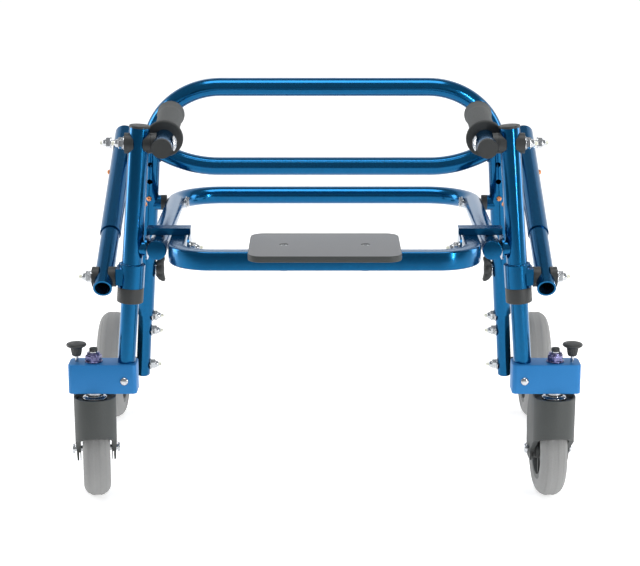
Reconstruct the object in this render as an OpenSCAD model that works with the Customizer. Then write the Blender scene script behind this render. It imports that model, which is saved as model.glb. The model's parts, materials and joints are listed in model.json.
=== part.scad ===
// Posterior walker: a blue tube frame open at the front, with a flip-up seat,
// tilting handles, telescoping braces, swivel casters and fixed rear wheels.
// +X is the right-hand side seen from the open front, +Y points to the back rails.

/* [Frame] */
// Outside diameter of the main frame tube
tube_d = 25.4; // [22:0.2:30]
// Wall of the main frame tube
tube_wall = 1.5; // [1.2:0.1:2]
// Height of the lower rail and of the seat hinge above the floor
pivot_z = 346; // [330:1:380]
// Outward lean of the front and rear posts, in degrees
splay = 4.6; // [3:0.1:6]
// Forward lean of the back frame, in degrees
rake = 16; // [10:1:18]
// Half distance between the front posts at the hinge height
front_x = 246; // [245:1:256]
// Half distance between the rear posts at the hinge height
rear_x = 252; // [246:1:266]
// Distance from the front posts back to the rear posts at the hinge height
rear_y = 295; // [270:1:320]
// Height of the top back rail
top_rail_z = 520; // [500:1:560]
// Bend radius of the top back rail
top_bend_r = 100; // [80:1:110]
// Height of the middle back rail
mid_rail_z = 402; // [392:1:410]
// Bend radius at the ends of the middle back rail
mid_bend_r = 150; // [120:1:170]
// Height of the lower end of the rear posts
rear_post_low_z = 168; // [150:1:200]
// Distance from the front posts back to the lower rail's cross bar
low_rail_y = 350; // [335:1:380]
// Bend radius of the lower rail
low_bend_r = 65; // [50:1:80]
// Half distance between the arms of the lower rail
low_arm_x = 214.3; // [212:0.1:216]

/* [Front posts] */
// Outside diameter of the front post
post_d = 26; // [25:0.1:28]
// Wall of the front post
post_wall = 1.2; // [1:0.1:1.4]
// Height of the top of the front post
post_top_z = 502; // [496:1:520]
// Height of the lower end of the front post
post_low_z = 295; // [285:1:300]
// Outside diameter of the reinforcing sleeve
sleeve_d = 34; // [33:0.1:34.6]
// Height of the top of the reinforcing sleeve
sleeve_top_z = 325; // [322:1:326]
// Length of the black collar under the sleeve
collar_h = 20; // [14:1:26]
// Height of the upper end of the front leg inside the post
leg_top_z = 430; // [420:1:436]

/* [Handles] */
// Height of the handle's bolt
handle_z = 482; // [478:1:484]
// Outside diameter of the handle bar
handle_d = 25.4; // [22:0.2:26]
// Rise of the handle towards the back, in degrees
handle_rise = 8; // [4:1:16]
// Reach of the handle bar in front of its bolt
handle_front = 20; // [18:1:26]
// Distance from the bolt back to the grip's flange
grip_start = 17; // [15.5:0.5:24]
// Length of the hand grip
grip_l = 112; // [90:1:130]
// Diameter of the hand grip
grip_d = 33; // [30:0.5:36]
// Diameter of the grip's round flange
flange_d = 48; // [42:1:50]

/* [Seat] */
// Distance from the hinge forward to the seat's front bar
seat_reach = 71; // [64:1:90]
// Bend radius of the seat frame
seat_bend_r = 47; // [40:1:52]
// Width of the seat board
board_w = 188; // [150:1:240]
// Depth of the seat board
board_l = 132; // [110:1:140]
// Thickness of the seat board
board_t = 8; // [6:0.5:12]
// Corner radius of the seat board
board_r = 14; // [8:1:24]

/* [Braces] */
// Outside diameter of the brace's outer tube
brace_d = 27.8; // [27:0.1:30]
// Outside diameter of the brace's sliding tube
brace_in_d = 24.4; // [22:0.1:24.4]
// Half distance between the brace tubes
brace_x = 284; // [282:0.5:290]
// Height of the brace's bolt on the front post
brace_front_z = 308; // [304:1:310]
// Height of the brace's bolt on the rear post
brace_rear_z = 437; // [425:1:440]
// Length of brace tube past each of its bolts
brace_end = 24; // [20:1:28]
// Length of the outer brace tube from the rear bolt forward
brace_outer_l = 208; // [190:1:216]

/* [Casters] */
// Diameter of the caster wheels
caster_d = 127; // [110:1:130]
// Width of the caster tyre
caster_w = 36; // [30:1:38]
// Distance of the wheel behind the swivel axis
caster_trail = 35; // [28:1:40]
// Swing of the right wheel inwards in the modelled pose, in degrees
right_swivel = 2.7; // [0:0.1:12]
// Swing of the left wheel outwards in the modelled pose, in degrees
left_swivel = 7.5; // [0:0.1:12]
// Half distance between the swivel axes
stem_x = 301; // [296:1:304]
// Width of the caster block
block_w = 89; // [86:1:92]
// Depth of the caster block, front to back
block_l = 36; // [32:1:42]
// Height of the caster block
block_h = 39; // [34:1:44]
// Height of the underside of the caster block
block_z = 155; // [152:1:160]

/* [Rear wheels] */
// Diameter of the rear wheels
wheel_d = 160; // [150:1:164]
// Width of the rear tyre
wheel_w = 38; // [30:1:42]
// Half distance between the rear wheels
wheel_x = 319.5; // [316:0.5:324]
// Outside diameter of the rear leg
rear_leg_d = 21; // [19:0.1:21.4]
// Spacing of the height holes
hole_pitch = 27; // [24:0.5:30]
// Diameter of the height holes
hole_d = 7.8; // [6:0.1:9]

/* [Fits] */
// Gap between pieces that move past each other
gap = 0.3; // [0.2:0.05:0.4]
// Radial clearance of a turning fit
run = 0.05; // [0.02:0.01:0.1]
// Diameter of the frame bolts
bolt_d = 8; // [6:0.5:10]

/* [Hidden] */
$fn = 72;

// Paint and finish colours
blue = "#0b5a9b";
block_blue = "#2a72b8";
black = "#2b2d2d";
dark_grey = "#4a4d4c";
tyre_grey = "#a5a5a5";
board_grey = "#77787a";
steel = "#c4c7c9";
copper = "#d98b5a";

// Overrun of a cut, and the way along each axis
over = 5;
x_way = [0, 90, 0];
front_way = [90, 0, 0];

// Fasteners: nuts, washers and their plastic tips
nut_af = 13;
nut_h = 6.5;
dome_d = 11;
dome_h = 5;
tip_d = 6;
tip_h = 4;
washer_d = 17;
washer_t = 1.6;
head_d = 20;
head_h = 4;
hex_share = 2 / sqrt(3);

// Back frame derived values: v runs up along the leaning posts from the hinge height
function rear_v(z) = (z - pivot_z) / cos(rake);
function rear_u(v) = rear_x - v * tan(splay);
function rear_pt(z) = [rear_u(rear_v(z)), rear_y - rear_v(z) * sin(rake), z];
post_in_d = tube_d - 2 * tube_wall;
top_v = rear_v(top_rail_z);
bend_v = top_v - top_bend_r * (1 - sin(splay));
top_bend_u = rear_u(bend_v) - top_bend_r * cos(splay);
post_straight = (bend_v - rear_v(rear_post_low_z)) / cos(splay);
mid_v = rear_v(mid_rail_z);
mid_turn = 39;
mid_end_v = mid_v + mid_bend_r * (1 - cos(mid_turn));
mid_flat_u = rear_u(mid_end_v) - mid_bend_r * sin(mid_turn);

// Front post derived values
function front_u(z) = front_x + (pivot_z - z) * tan(splay);
function front_pt(z) = [front_u(z), 0, z];
post_bore_d = post_d - 2 * post_wall;
leg_d = post_bore_d - 2 * gap;
leg_wall = 2;
collar_d = sleeve_d;
collar_bore_d = leg_d + 2 * gap;
cap_t = 3;
cap_plug_h = 8;
cap_plug_d = post_bore_d - 2 * run;
leg_low_z = block_z + leg_wall;

// Seat hinge bracket: two end plates round the hinge bolt and a channel behind it
seat_arm_x = low_arm_x - tube_d - gap;
plate_t = 2.5;
plate_r = 15;
plate_in_x = seat_arm_x - tube_d / 2 - gap - plate_t;
plate_out_x = low_arm_x + tube_d / 2 + gap;
channel_offset = 4;
channel_y = tube_d / 2 + channel_offset;
channel_l = 20;
channel_h = 9;
tail_setback = 2;
seat_tail = channel_y + channel_l - tail_setback;
arm_lip = 1.5;
arm_front = tube_d / 2 + arm_lip;
hinge_boss_d = 20;

// Seat board and its two screws
screw_share = 0.27;
screw_x = board_w * screw_share;
screw_d = 5;
screw_head_d = 10;
screw_head_h = 2.5;
screw_tail = 6;
board_z = pivot_z + tube_d / 2;

// Rear pivot: a boss on the post, a black spacer and a bolt through the rail's arm
boss_d = 22;
boss_proud = 4.5;
boss_in_x = rear_x - tube_d / 2 - boss_proud;
spacer_in_x = low_arm_x + tube_d / 2;

// Handle derived values
saddle_d = 26;
saddle_t = 5;
handle_x = front_u(handle_z) - post_d / 2 - saddle_t - handle_d / 2;
saddle_face_x = front_u(handle_z) - post_d / 2 - saddle_t / 2;
saddle_wrap = 7;
outer_saddle_t = 5;
flange_t = 7;
grip_flare_d = 37;
grip_flare_l = 12;
handle_wall = 2;
end_cap_t = 5;

// Brace derived values
brace_rear = [brace_x, rear_pt(brace_rear_z)[1], brace_rear_z];
brace_front = [brace_x, 0, brace_front_z];
brace_l = norm(brace_rear - brace_front);
brace_tilt = atan2(brace_rear_z - brace_front_z, brace_rear[1]);
brace_in_wall = 2.2;
brace_in_bore = brace_in_d - 2 * brace_in_wall;
brace_bore = brace_in_d + 2 * gap;
brace_overlap = 100;
brace_pivot_play = 4.2;
brace_washer_d = 22;
lug_t = 4.5;
lug_l = 28;
lug_h = 26;
lug_gap = 2.3;
lug_face_x = brace_x - brace_d / 2 - lug_gap;
brace_saddle_t = 3;
button_d = hole_d - 2 * gap;
button_h = 3;
brace_button_from_rear = 70;

// Caster derived values
block_out = 32;
block_in_x = stem_x + block_out - block_w;
block_corner_r = 5;
stem_d = 12;
stem_head = 21;
stem_nut_af = 19;
stem_nut_h = 12;
race_d = 32;
race_h = 7;
fork_z = block_z - race_h - gap;
fork_crown_h = 30;
fork_wall_h = 50;
fork_w = 57;
fork_arm_t = 8;
fork_eye_d = 30;
fork_side_gap = (fork_w - 2 * fork_arm_t - caster_w) / 2;
caster_tyre_t = 22;
caster_hub_d = caster_d - 2 * caster_tyre_t;
caster_hub_l = caster_w + 2 * fork_side_gap - 2 * gap;
caster_boss_d = 26;
hub_web_t = 20;
hub_rim_t = 6;
rim_inset = 2;
tread_r = 10.8;
tyre_room = 5;
plunger_offset = 22;
plunger_x = stem_x + plunger_offset;
pin_d = 8;
knob_d = 27;
knob_h = 7;
knob_neck_d = 15.6;
knob_neck_h = 12;
knob_collar_d = 11;
knob_collar_h = 8;
pin_depth = 24;
cross_bolt_d = 6;
cross_head_d = 11;
cross_head_h = 3.2;
cross_share = 0.44;
cross_z = block_z + block_h * cross_share;

// Rear wheel derived values
axle_z = wheel_d / 2;
axle_at = rear_pt(axle_z);
rear_leg_wall = 2;
rear_leg_top_z = 380;
rear_leg_tail = 15;
button_z = 358;
button_pt = rear_pt(button_z);
wheel_tyre_t = 22;
wheel_hub_d = wheel_d - 2 * wheel_tyre_t;
wheel_boss_d = 34;
drum_d = 46;
axle_play = 1;
axle_end_x = wheel_x + wheel_w / 2 + axle_play;
knob_z = 240;
wing_knob_d = 22;
wing_knob_h = 12;
wing_l = 17;
wing_t = 6;
wing_count = 3;
knob_stud_d = 6;

// The model's origin sits under the middle of the whole walker
y_front = -seat_reach - board_l / 2;
y_back = axle_at[1] + wheel_d / 2;
shift_y = -(y_front + y_back) / 2;

// Places children on one side, the left being the mirror of the right
module on_side(side) {
  translate([0, shift_y, 0]) mirror([side < 0 ? 1 : 0, 0, 0]) children();
}

module centred() {
  translate([0, shift_y, 0]) children();
}

// Turns +Z to the way from p to q and starts at p
module along(p, q) {
  way = q - p;
  translate(p) rotate([0, acos(way[2] / norm(way)), atan2(way[1], way[0])]) children();
}

module rod(p, q, d) {
  along(p, q) cylinder(d = d, h = norm(q - p));
}

// A round bar along X between two places
module x_rod(x0, x1, y, z, d) {
  translate([x0, y, z]) rotate(x_way) cylinder(d = d, h = x1 - x0);
}

// Acorn nut with its washer on a face at x, pointing outwards, or inwards where way is -1
module acorn_nut(x, y, z, way) {
  translate([x, y, z]) rotate([0, 90 * way, 0]) {
    cylinder(d = washer_d, h = washer_t);
    translate([0, 0, washer_t]) cylinder(d = nut_af * hex_share, h = nut_h, $fn = 6);
    translate([0, 0, washer_t + nut_h]) cylinder(d1 = dome_d, d2 = tip_d, h = dome_h);
    translate([0, 0, washer_t + nut_h + dome_h]) cylinder(d = tip_d, h = tip_h);
  }
}

// A U of tube lying flat: its cross bar at y, its arms at half width x, running to arm_y
module flat_u(x, y, arm_y, r, d) {
  back = y > arm_y ? 1 : -1;
  mirror([0, back > 0 ? 0 : 1, 0]) {
    bar_y = abs(y);
    end_y = back * arm_y;
    rod([-x + r, bar_y, 0], [x - r, bar_y, 0], d);
    for (s = [0, 1]) mirror([s, 0, 0]) {
      translate([x - r, bar_y - r, 0]) rotate_extrude(angle = 90) translate([r, 0]) circle(d = d);
      rod([x, end_y, 0], [x, bar_y - r, 0], d);
    }
  }
}

// Works in the leaning plane of the back frame, with u across and v up
module back_plane() {
  translate([0, rear_y, pivot_z]) rotate([rake, 0, 0]) children();
}

// A rear post bent over at its top, where the top rail's straight tube joins it
module bent_post(d, tail) {
  translate([top_bend_u, 0, top_v - top_bend_r]) rotate(front_way) rotate([0, 0, splay]) {
    rotate_extrude(angle = 90 - splay) translate([top_bend_r, 0]) circle(d = d);
    translate([top_bend_r, 0, 0]) rotate(front_way) cylinder(d = d, h = post_straight + tail);
  }
}

// Path of the middle rail, with its upturned ends
module mid_path(d) {
  rod([-mid_flat_u, 0, mid_v], [mid_flat_u, 0, mid_v], d);
  for (s = [0, 1]) mirror([s, 0, 0])
    translate([mid_flat_u, 0, mid_v + mid_bend_r]) rotate(front_way) rotate([0, 0, -90])
      rotate_extrude(angle = mid_turn) translate([mid_bend_r, 0]) circle(d = d);
}

module back_frame() color(blue) centred() {
  back_plane() difference() {
    rod([run - top_bend_u, 0, top_v], [top_bend_u - run, 0, top_v], tube_d);
    rod([-top_bend_u, 0, top_v], [top_bend_u, 0, top_v], post_in_d);
  }
  bent_posts();
}

// Both bent posts with their bosses and height holes
module bent_posts() difference() {
  union() {
    for (s = [0, 1]) mirror([s, 0, 0]) {
      at = rear_pt(brace_rear_z);
      back_plane() bent_post(tube_d, 0);
      x_rod(boss_in_x, rear_x, rear_y, pivot_z, boss_d);
      x_rod(at[0], lug_face_x, at[1], at[2], boss_d);
    }
  }
  back_plane() {
    for (s = [0, 1]) mirror([s, 0, 0]) bent_post(post_in_d, over);
    for (s = [0, 1], n = [0 : 2]) mirror([s, 0, 0]) {
      v = rear_v(button_z) + n * hole_pitch;
      translate([rear_u(v), 0, v]) rotate(front_way) cylinder(d = hole_d, h = tube_d);
    }
  }
  for (s = [0, 1]) mirror([s, 0, 0]) {
    at = rear_pt(brace_rear_z);
    knob_at = rear_pt(knob_z);
    x_rod(boss_in_x - over, rear_x - post_in_d / 2 - tube_wall, rear_y, pivot_z, bolt_d);
    x_rod(at[0] + tube_d / 2, lug_face_x + over, at[1], at[2], bolt_d);
    x_rod(knob_at[0] - tube_d, knob_at[0], knob_at[1], knob_at[2], knob_stud_d + 2 * run);
  }
}

// Middle rail, coped onto the rear posts
module middle_rail() color(blue) centred() back_plane() difference() {
  mid_path(tube_d);
  mid_path(post_in_d);
  for (s = [0, 1]) mirror([s, 0, 0]) translate([rear_x, 0, 0]) rotate([0, -splay, 0])
    cylinder(d = tube_d + 2 * gap, h = top_v);
}

module lower_rail() color(blue) centred() difference() {
  translate([0, 0, pivot_z]) flat_u(low_arm_x, low_rail_y, -arm_front, low_bend_r, tube_d);
  translate([0, 0, pivot_z]) flat_u(low_arm_x, low_rail_y, -arm_front - over, low_bend_r, post_in_d);
  for (s = [0, 1], y = [0, rear_y]) mirror([s, 0, 0])
    x_rod(low_arm_x - tube_d, low_arm_x + tube_d, y, pivot_z, bolt_d);
}

// Folded channel that holds the seat's hinge bolt and stops the seat's tails
module bracket(side) color(blue) on_side(side) {
  span = plate_out_x + plate_t - plate_in_x;
  low_z = pivot_z + tube_d / 2 + gap;
  difference() {
    translate([plate_in_x, channel_y, low_z]) cube([span, channel_l, channel_h]);
    translate([plate_in_x + plate_t, channel_y + plate_t, low_z - over])
      cube([span - 2 * plate_t, channel_l - 2 * plate_t, channel_h + over - plate_t]);
  }
  for (x = [plate_in_x, plate_out_x]) difference() {
    union() {
      x_rod(x, x + plate_t, 0, pivot_z, 2 * plate_r);
      translate([x, 0, pivot_z - plate_r]) cube([plate_t, channel_y + channel_l, plate_r]);
      translate([x, 0, pivot_z]) cube([plate_t, channel_y + channel_l, plate_r]);
      translate([x, channel_y, pivot_z]) cube([plate_t, channel_l, low_z + channel_h - pivot_z]);
    }
    x_rod(x - over, x + plate_t + over, 0, pivot_z, bolt_d);
  }
}

module pivot_spacers() color(black) for (side = [-1, 1]) on_side(side) difference() {
  x_rod(spacer_in_x, boss_in_x, rear_y, pivot_z, boss_d);
  x_rod(spacer_in_x - over, boss_in_x + over, rear_y, pivot_z, bolt_d);
}

// Hinge bolts of the seat, bolts of the rail's arms and rear bolts of the braces
module pivot_bolts() color(steel) for (side = [-1, 1]) on_side(side) {
  boss_x = rear_x - tube_d / 2 - run;
  bend_in_r = low_bend_r - tube_d / 2;
  into_bend = rear_y + washer_d / 2 - low_rail_y + low_bend_r;
  arm_x = low_arm_x - tube_d / 2 - bend_in_r + sqrt(pow(bend_in_r, 2) - pow(max(into_bend, 0), 2)) - gap;
  brace_out = brace_x + brace_d / 2 + brace_saddle_t;
  hinge_out = front_u(pivot_z) - post_d / 2 - gap;
  brace_root = rear_pt(brace_rear_z)[0] + tube_d / 2;
  x_rod(plate_in_x, hinge_out, 0, pivot_z, bolt_d);
  acorn_nut(plate_in_x, 0, pivot_z, -1);
  x_rod(arm_x, boss_x, rear_y, pivot_z, bolt_d);
  acorn_nut(arm_x, rear_y, pivot_z, -1);
  x_rod(brace_root, brace_out, brace_rear[1], brace_rear_z, bolt_d);
  acorn_nut(brace_out + gap, brace_rear[1], brace_rear_z, 1);
  x_rod(brace_out, brace_out + gap, brace_rear[1], brace_rear_z, bolt_d);
}

// Wing knob that clamps the rear leg in its post
module clamp_knob(side) color(black) on_side(side) {
  at = rear_pt(knob_z);
  face = at[0] - tube_d / 2 - gap - (wing_l + wing_t) * tan(splay);
  translate([face, at[1], at[2]]) rotate([0, -90, 0]) {
    cylinder(d = wing_knob_d, h = wing_knob_h);
    for (n = [1 : wing_count]) rotate([0, 0, n * 360 / wing_count]) {
      translate([0, -wing_t / 2, 0]) cube([wing_l, wing_t, wing_knob_h]);
      translate([wing_l, 0, 0]) cylinder(d = wing_t, h = wing_knob_h);
    }
  }
  x_rod(face, at[0] - rear_leg_d / 2 - gap, at[1], at[2], knob_stud_d);
}

// Spring button that locks the rear leg's height
module leg_button(side) color(copper) on_side(side) {
  translate(button_pt) rotate([rake, 0, 0]) rotate(front_way)
    translate([0, 0, rear_leg_d / 2 - rear_leg_wall]) {
      depth = tube_d / 2 - rear_leg_d / 2 + rear_leg_wall;
      cylinder(d = button_d, h = depth);
      translate([0, 0, depth]) cylinder(d1 = button_d, d2 = button_d / 2, h = button_h);
    }
}

module seat_frame() color(blue) centred() difference() {
  translate([0, 0, pivot_z]) flat_u(seat_arm_x, -seat_reach, seat_tail, seat_bend_r, tube_d);
  translate([0, 0, pivot_z]) flat_u(seat_arm_x, -seat_reach, seat_tail + over, seat_bend_r, post_in_d);
  for (s = [0, 1]) mirror([s, 0, 0])
    x_rod(seat_arm_x - tube_d, seat_arm_x + tube_d, 0, pivot_z, bolt_d + 2 * run);
  seat_screw_holes();
}

module seat_screw_holes() {
  for (s = [-1, 1]) translate([s * screw_x, -seat_reach, pivot_z - tube_d])
    cylinder(d = screw_d, h = tube_d * 3);
}

// Flat outline with round corners
module round_rect(w, l, r) {
  square([w - 2 * r, l], center = true);
  square([w, l - 2 * r], center = true);
  for (x = [-1, 1], y = [-1, 1]) translate([x * (w / 2 - r), y * (l / 2 - r)]) circle(r = r);
}

module seat_board() color(board_grey) centred() difference() {
  translate([0, -seat_reach, board_z]) linear_extrude(board_t) round_rect(board_w, board_l, board_r);
  seat_screw_holes();
  for (s = [-1, 1]) translate([s * screw_x, -seat_reach, board_z + board_t - screw_head_h])
    cylinder(d = screw_head_d + 2 * gap, h = screw_head_h + over);
}

module seat_screws() color(steel) centred() for (s = [-1, 1]) translate([s * screw_x, -seat_reach, 0]) {
  translate([0, 0, pivot_z - tube_d / 2 - screw_tail]) cylinder(d = screw_d, h = tube_d + board_t + screw_tail);
  translate([0, 0, board_z + board_t - screw_head_h]) cylinder(d = screw_head_d, h = screw_head_h);
  translate([0, 0, pivot_z - tube_d / 2 - screw_tail + run]) cylinder(d = screw_head_d, h = screw_tail - run);
}

// Front post with its welded sleeve, brace lug and hinge boss
module front_post(side) color(blue) on_side(side) difference() {
  union() {
    rod(front_pt(post_low_z), front_pt(post_top_z), post_d);
    rod(front_pt(post_low_z), front_pt(sleeve_top_z), sleeve_d);
    translate([front_u(brace_front_z), -lug_l / 2, brace_front_z - lug_h / 2 + lug_t])
      cube([lug_face_x - front_u(brace_front_z), lug_l, lug_h - lug_t]);
    x_rod(plate_out_x + plate_t + gap, front_x, 0, pivot_z, hinge_boss_d);
  }
  rod(front_pt(post_low_z - over), front_pt(post_top_z + over), post_bore_d);
  x_rod(plate_out_x, front_u(pivot_z) - post_d / 2, 0, pivot_z, bolt_d + 2 * run);
  x_rod(handle_x, front_x + post_d, 0, handle_z, bolt_d);
  x_rod(front_u(brace_front_z) + sleeve_d / 2, lug_face_x + over, 0, brace_front_z, bolt_d);
}

// Black plastic cap of the post and collar under its sleeve
module post_fittings(side) color(dark_grey) on_side(side) {
  top = front_pt(post_top_z);
  rod(top, front_pt(post_top_z + cap_t), post_d);
  rod(front_pt(post_top_z - cap_plug_h), top, cap_plug_d);
  difference() {
    rod(front_pt(post_low_z - collar_h), front_pt(post_low_z), collar_d);
    rod(front_pt(post_low_z - collar_h - over), front_pt(post_low_z + over), collar_bore_d);
  }
}

// Black saddles on the inner and the outer side of the post
module post_saddles(side) color(dark_grey) on_side(side) difference() {
  outer_face = front_u(handle_z) + post_d / 2 + outer_saddle_t;
  union() {
    x_rod(saddle_face_x, saddle_face_x + saddle_t / 2 + saddle_wrap, 0, handle_z, saddle_d);
    x_rod(outer_face - outer_saddle_t - saddle_wrap, outer_face, 0, handle_z, saddle_d);
  }
  rod(front_pt(handle_z - saddle_d), front_pt(handle_z + saddle_d), post_d);
  x_rod(handle_x, outer_face + over, 0, handle_z, bolt_d);
}

// Handle bolt with its acorn nut, and the brace's front bolt with its nut
module post_bolts(side) color(steel) on_side(side) {
  head_x = handle_x - handle_d / 2 - gap;
  nut_x = front_u(handle_z) + post_d / 2 + outer_saddle_t;
  brace_out = brace_x + brace_in_d / 2 + brace_saddle_t + gap;
  x_rod(head_x, nut_x, 0, handle_z, bolt_d);
  x_rod(head_x - head_h, head_x, 0, handle_z, head_d);
  acorn_nut(nut_x, 0, handle_z, 1);
  x_rod(front_u(brace_front_z) + sleeve_d / 2, brace_out, 0, brace_front_z, bolt_d);
  translate([brace_out, 0, brace_front_z]) rotate(x_way) cylinder(d = brace_washer_d, h = washer_t);
  acorn_nut(brace_out + washer_t, 0, brace_front_z, 1);
}

// Works along the handle's axis, with +Z towards the back
module handle_axis() {
  translate([handle_x, 0, handle_z]) rotate([handle_rise - 90, 0, 0]) children();
}

module handle_bar(side) color(blue) on_side(side) difference() {
  handle_axis() translate([0, 0, -handle_front]) difference() {
    cylinder(d = handle_d, h = handle_front + grip_start + grip_l - end_cap_t);
    translate([0, 0, -over])
      cylinder(d = handle_d - 2 * handle_wall, h = handle_front + grip_start + grip_l + over);
  }
  x_rod(handle_x - handle_d, handle_x + handle_d, 0, handle_z, bolt_d + 2 * run);
}

// Rubber grip with a round flange in front and a flared rim behind
module hand_grip(side) color(dark_grey) on_side(side) handle_axis() translate([0, 0, grip_start]) difference() {
  union() {
    cylinder(d = flange_d, h = flange_t);
    cylinder(d = grip_d, h = grip_l);
    translate([0, 0, grip_l - grip_flare_l]) cylinder(d1 = grip_d, d2 = grip_flare_d, h = grip_flare_l);
  }
  translate([0, 0, -over]) cylinder(d = handle_d, h = grip_l + over - end_cap_t);
}

// Handle's front cap and the saddle between the handle and the post
module handle_fittings(side) color(black) on_side(side) {
  plug_d = handle_d - 2 * handle_wall;
  handle_axis() translate([0, 0, -handle_front - end_cap_t]) {
    cylinder(d = handle_d, h = end_cap_t);
    cylinder(d = plug_d, h = end_cap_t + cap_plug_h);
  }
  difference() {
    x_rod(saddle_face_x - gap - saddle_wrap, saddle_face_x - gap, 0, handle_z, saddle_d);
    handle_axis() translate([0, 0, -saddle_d]) cylinder(d = handle_d, h = 2 * saddle_d);
    x_rod(handle_x, front_x, 0, handle_z, bolt_d + 2 * run);
  }
}

// Sliding front leg
module front_leg(side) color(blue) on_side(side) difference() {
  rod(front_pt(leg_low_z), front_pt(leg_top_z), leg_d);
  rod(front_pt(leg_low_z + over), front_pt(leg_top_z + over), leg_d - 2 * leg_wall);
  translate([front_u(cross_z), block_l, cross_z]) rotate(front_way) cylinder(d = cross_bolt_d, h = 2 * block_l);
}

// Machined block that carries the leg, the caster's stem and the lock plunger
module caster_block(side) color(block_blue) on_side(side) difference() {
  translate([block_in_x + block_w / 2, 0, block_z])
    linear_extrude(block_h) round_rect(block_w, block_l, block_corner_r);
  rod(front_pt(leg_low_z), front_pt(leg_low_z + 2 * block_h), leg_d);
  translate([stem_x, 0, block_z - over]) cylinder(d = stem_d + 2 * run, h = block_h + 2 * over);
  translate([plunger_x, 0, block_z + block_h - pin_depth - gap])
    cylinder(d = pin_d + 2 * run, h = pin_depth + over);
  translate([front_u(cross_z), block_l, cross_z]) rotate(front_way) cylinder(d = cross_bolt_d, h = 2 * block_l);
}

// Domed bolt that clamps the block on the leg
module block_bolt(side) color(steel) on_side(side) translate([front_u(cross_z), 0, cross_z]) rotate(front_way) {
  translate([0, 0, -block_l / 2]) cylinder(d = cross_bolt_d, h = block_l);
  translate([0, 0, block_l / 2]) cylinder(d1 = cross_head_d, d2 = cross_bolt_d, h = cross_head_h);
  translate([0, 0, -block_l / 2 - cross_head_h]) cylinder(d1 = cross_bolt_d, d2 = cross_head_d, h = cross_head_h);
}

// Pull knob and pin that lock the caster's swivel
module lock_plunger(side) color(black) on_side(side) translate([plunger_x, 0, block_z + block_h]) {
  translate([0, 0, -pin_depth]) cylinder(d = pin_d, h = pin_depth + knob_collar_h);
  translate([0, 0, gap]) cylinder(d = knob_collar_d, h = knob_collar_h);
  translate([0, 0, knob_collar_h]) cylinder(d = knob_neck_d, h = knob_neck_h);
  translate([0, 0, knob_collar_h + knob_neck_h]) cylinder(d = knob_d, h = knob_h);
}

// Works about the caster's swivel axis, turned to its modelled pose, with the wheel at -Y
module caster_axis(side) {
  on_side(side) translate([stem_x, 0, 0]) rotate([0, 0, 180 + (side > 0 ? right_swivel : -left_swivel)]) children();
}

// Side outline of a fork, from the crown with its tall wall to the wheel's axle
module fork_outline() {
  crown_r = fork_w / 2;
  eye_r = fork_eye_d / 2;
  axle_z0 = caster_d / 2;
  crown_z = fork_z - fork_crown_h;
  polygon([
    [-crown_r, fork_z], [crown_r + over, fork_z], [crown_r + over, fork_z - fork_wall_h],
    [eye_r - caster_trail, axle_z0], [-eye_r - caster_trail, axle_z0], [-crown_r - eye_r, crown_z]
  ]);
}

// What is taken off a fork's crown to make it round about the stem
module crown_corners() {
  difference() {
    translate([-fork_w, 0, 0]) cube([2 * fork_w, fork_w, block_z]);
    translate([0, 0, -over]) cylinder(d = fork_w, h = block_z + 2 * over);
  }
}

module caster_fork(side) color(black) caster_axis(side) difference() {
  rotate([90, 0, 90]) translate([0, 0, gap - fork_w / 2]) union() {
    linear_extrude(fork_w - 2 * gap) fork_outline();
    translate([-caster_trail, caster_d / 2, 0]) cylinder(d = fork_eye_d, h = fork_w - 2 * gap);
  }
  crown_corners();
  rotate(x_way) translate([-caster_d / 2, -caster_trail, -fork_w / 2 + fork_arm_t])
    cylinder(d = caster_d + 2 * tyre_room, h = fork_w - 2 * fork_arm_t);
  translate([0, 0, fork_z - fork_crown_h * 2]) cylinder(d = stem_d, h = fork_crown_h * 3);
  translate([-fork_w, -caster_trail, caster_d / 2]) rotate(x_way) cylinder(d = bolt_d, h = 2 * fork_w);
}

// Stem bolt with its nut, bearing race and the wheel's axle bolt
module caster_hardware(side) color(steel) caster_axis(side) {
  top = block_z + block_h;
  crown_low = caster_d / 2 + sqrt(pow(caster_d / 2 + tyre_room, 2) - pow(caster_trail, 2));
  translate([0, 0, crown_low + over]) cylinder(d = stem_d, h = top + stem_head - crown_low - over);
  translate([0, 0, fork_z]) cylinder(d = race_d, h = race_h);
  translate([0, 0, top + gap]) cylinder(d = stem_nut_af * hex_share, h = stem_nut_h, $fn = 6);
  translate([-fork_w / 2, -caster_trail, caster_d / 2]) rotate(x_way) cylinder(d = bolt_d, h = fork_w);
  for (s = [0, 1]) mirror([s, 0, 0]) translate([fork_w / 2, -caster_trail, caster_d / 2]) rotate(x_way)
    cylinder(d = nut_af * hex_share, h = head_h, $fn = 6);
}

// Works about a wheel's axle along X
module caster_axle(side) {
  caster_axis(side) translate([0, -caster_trail, caster_d / 2]) rotate(x_way) children();
}

// Moulded hub: boss, web and rim, with a bore for the axle
module hub(rim_d, rim_w, boss_d, boss_l, web_t) {
  difference() {
    union() {
      cylinder(d = rim_d, h = rim_w, center = true);
      cylinder(d = boss_d, h = boss_l, center = true);
    }
    for (s = [0, 1]) mirror([0, 0, s]) translate([0, 0, web_t / 2]) difference() {
      cylinder(d = rim_d - 2 * hub_rim_t, h = rim_w);
      cylinder(d = boss_d, h = rim_w);
    }
    cylinder(d = bolt_d + 2 * run, h = boss_l + 2 * over, center = true);
  }
}

// Tyre with a rounded tread
module tyre(d, rim_d, w, r) {
  band = (d - rim_d) / 2;
  rotate_extrude() translate([rim_d / 2 + band / 2, 0]) {
    translate([-band / 2, -w / 2]) square([band - r, w]);
    translate([-band / 2, -w / 2 + r]) square([band, w - 2 * r]);
    for (s = [-1, 1]) translate([band / 2 - r, s * (w / 2 - r)]) circle(r = r);
  }
}

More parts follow.
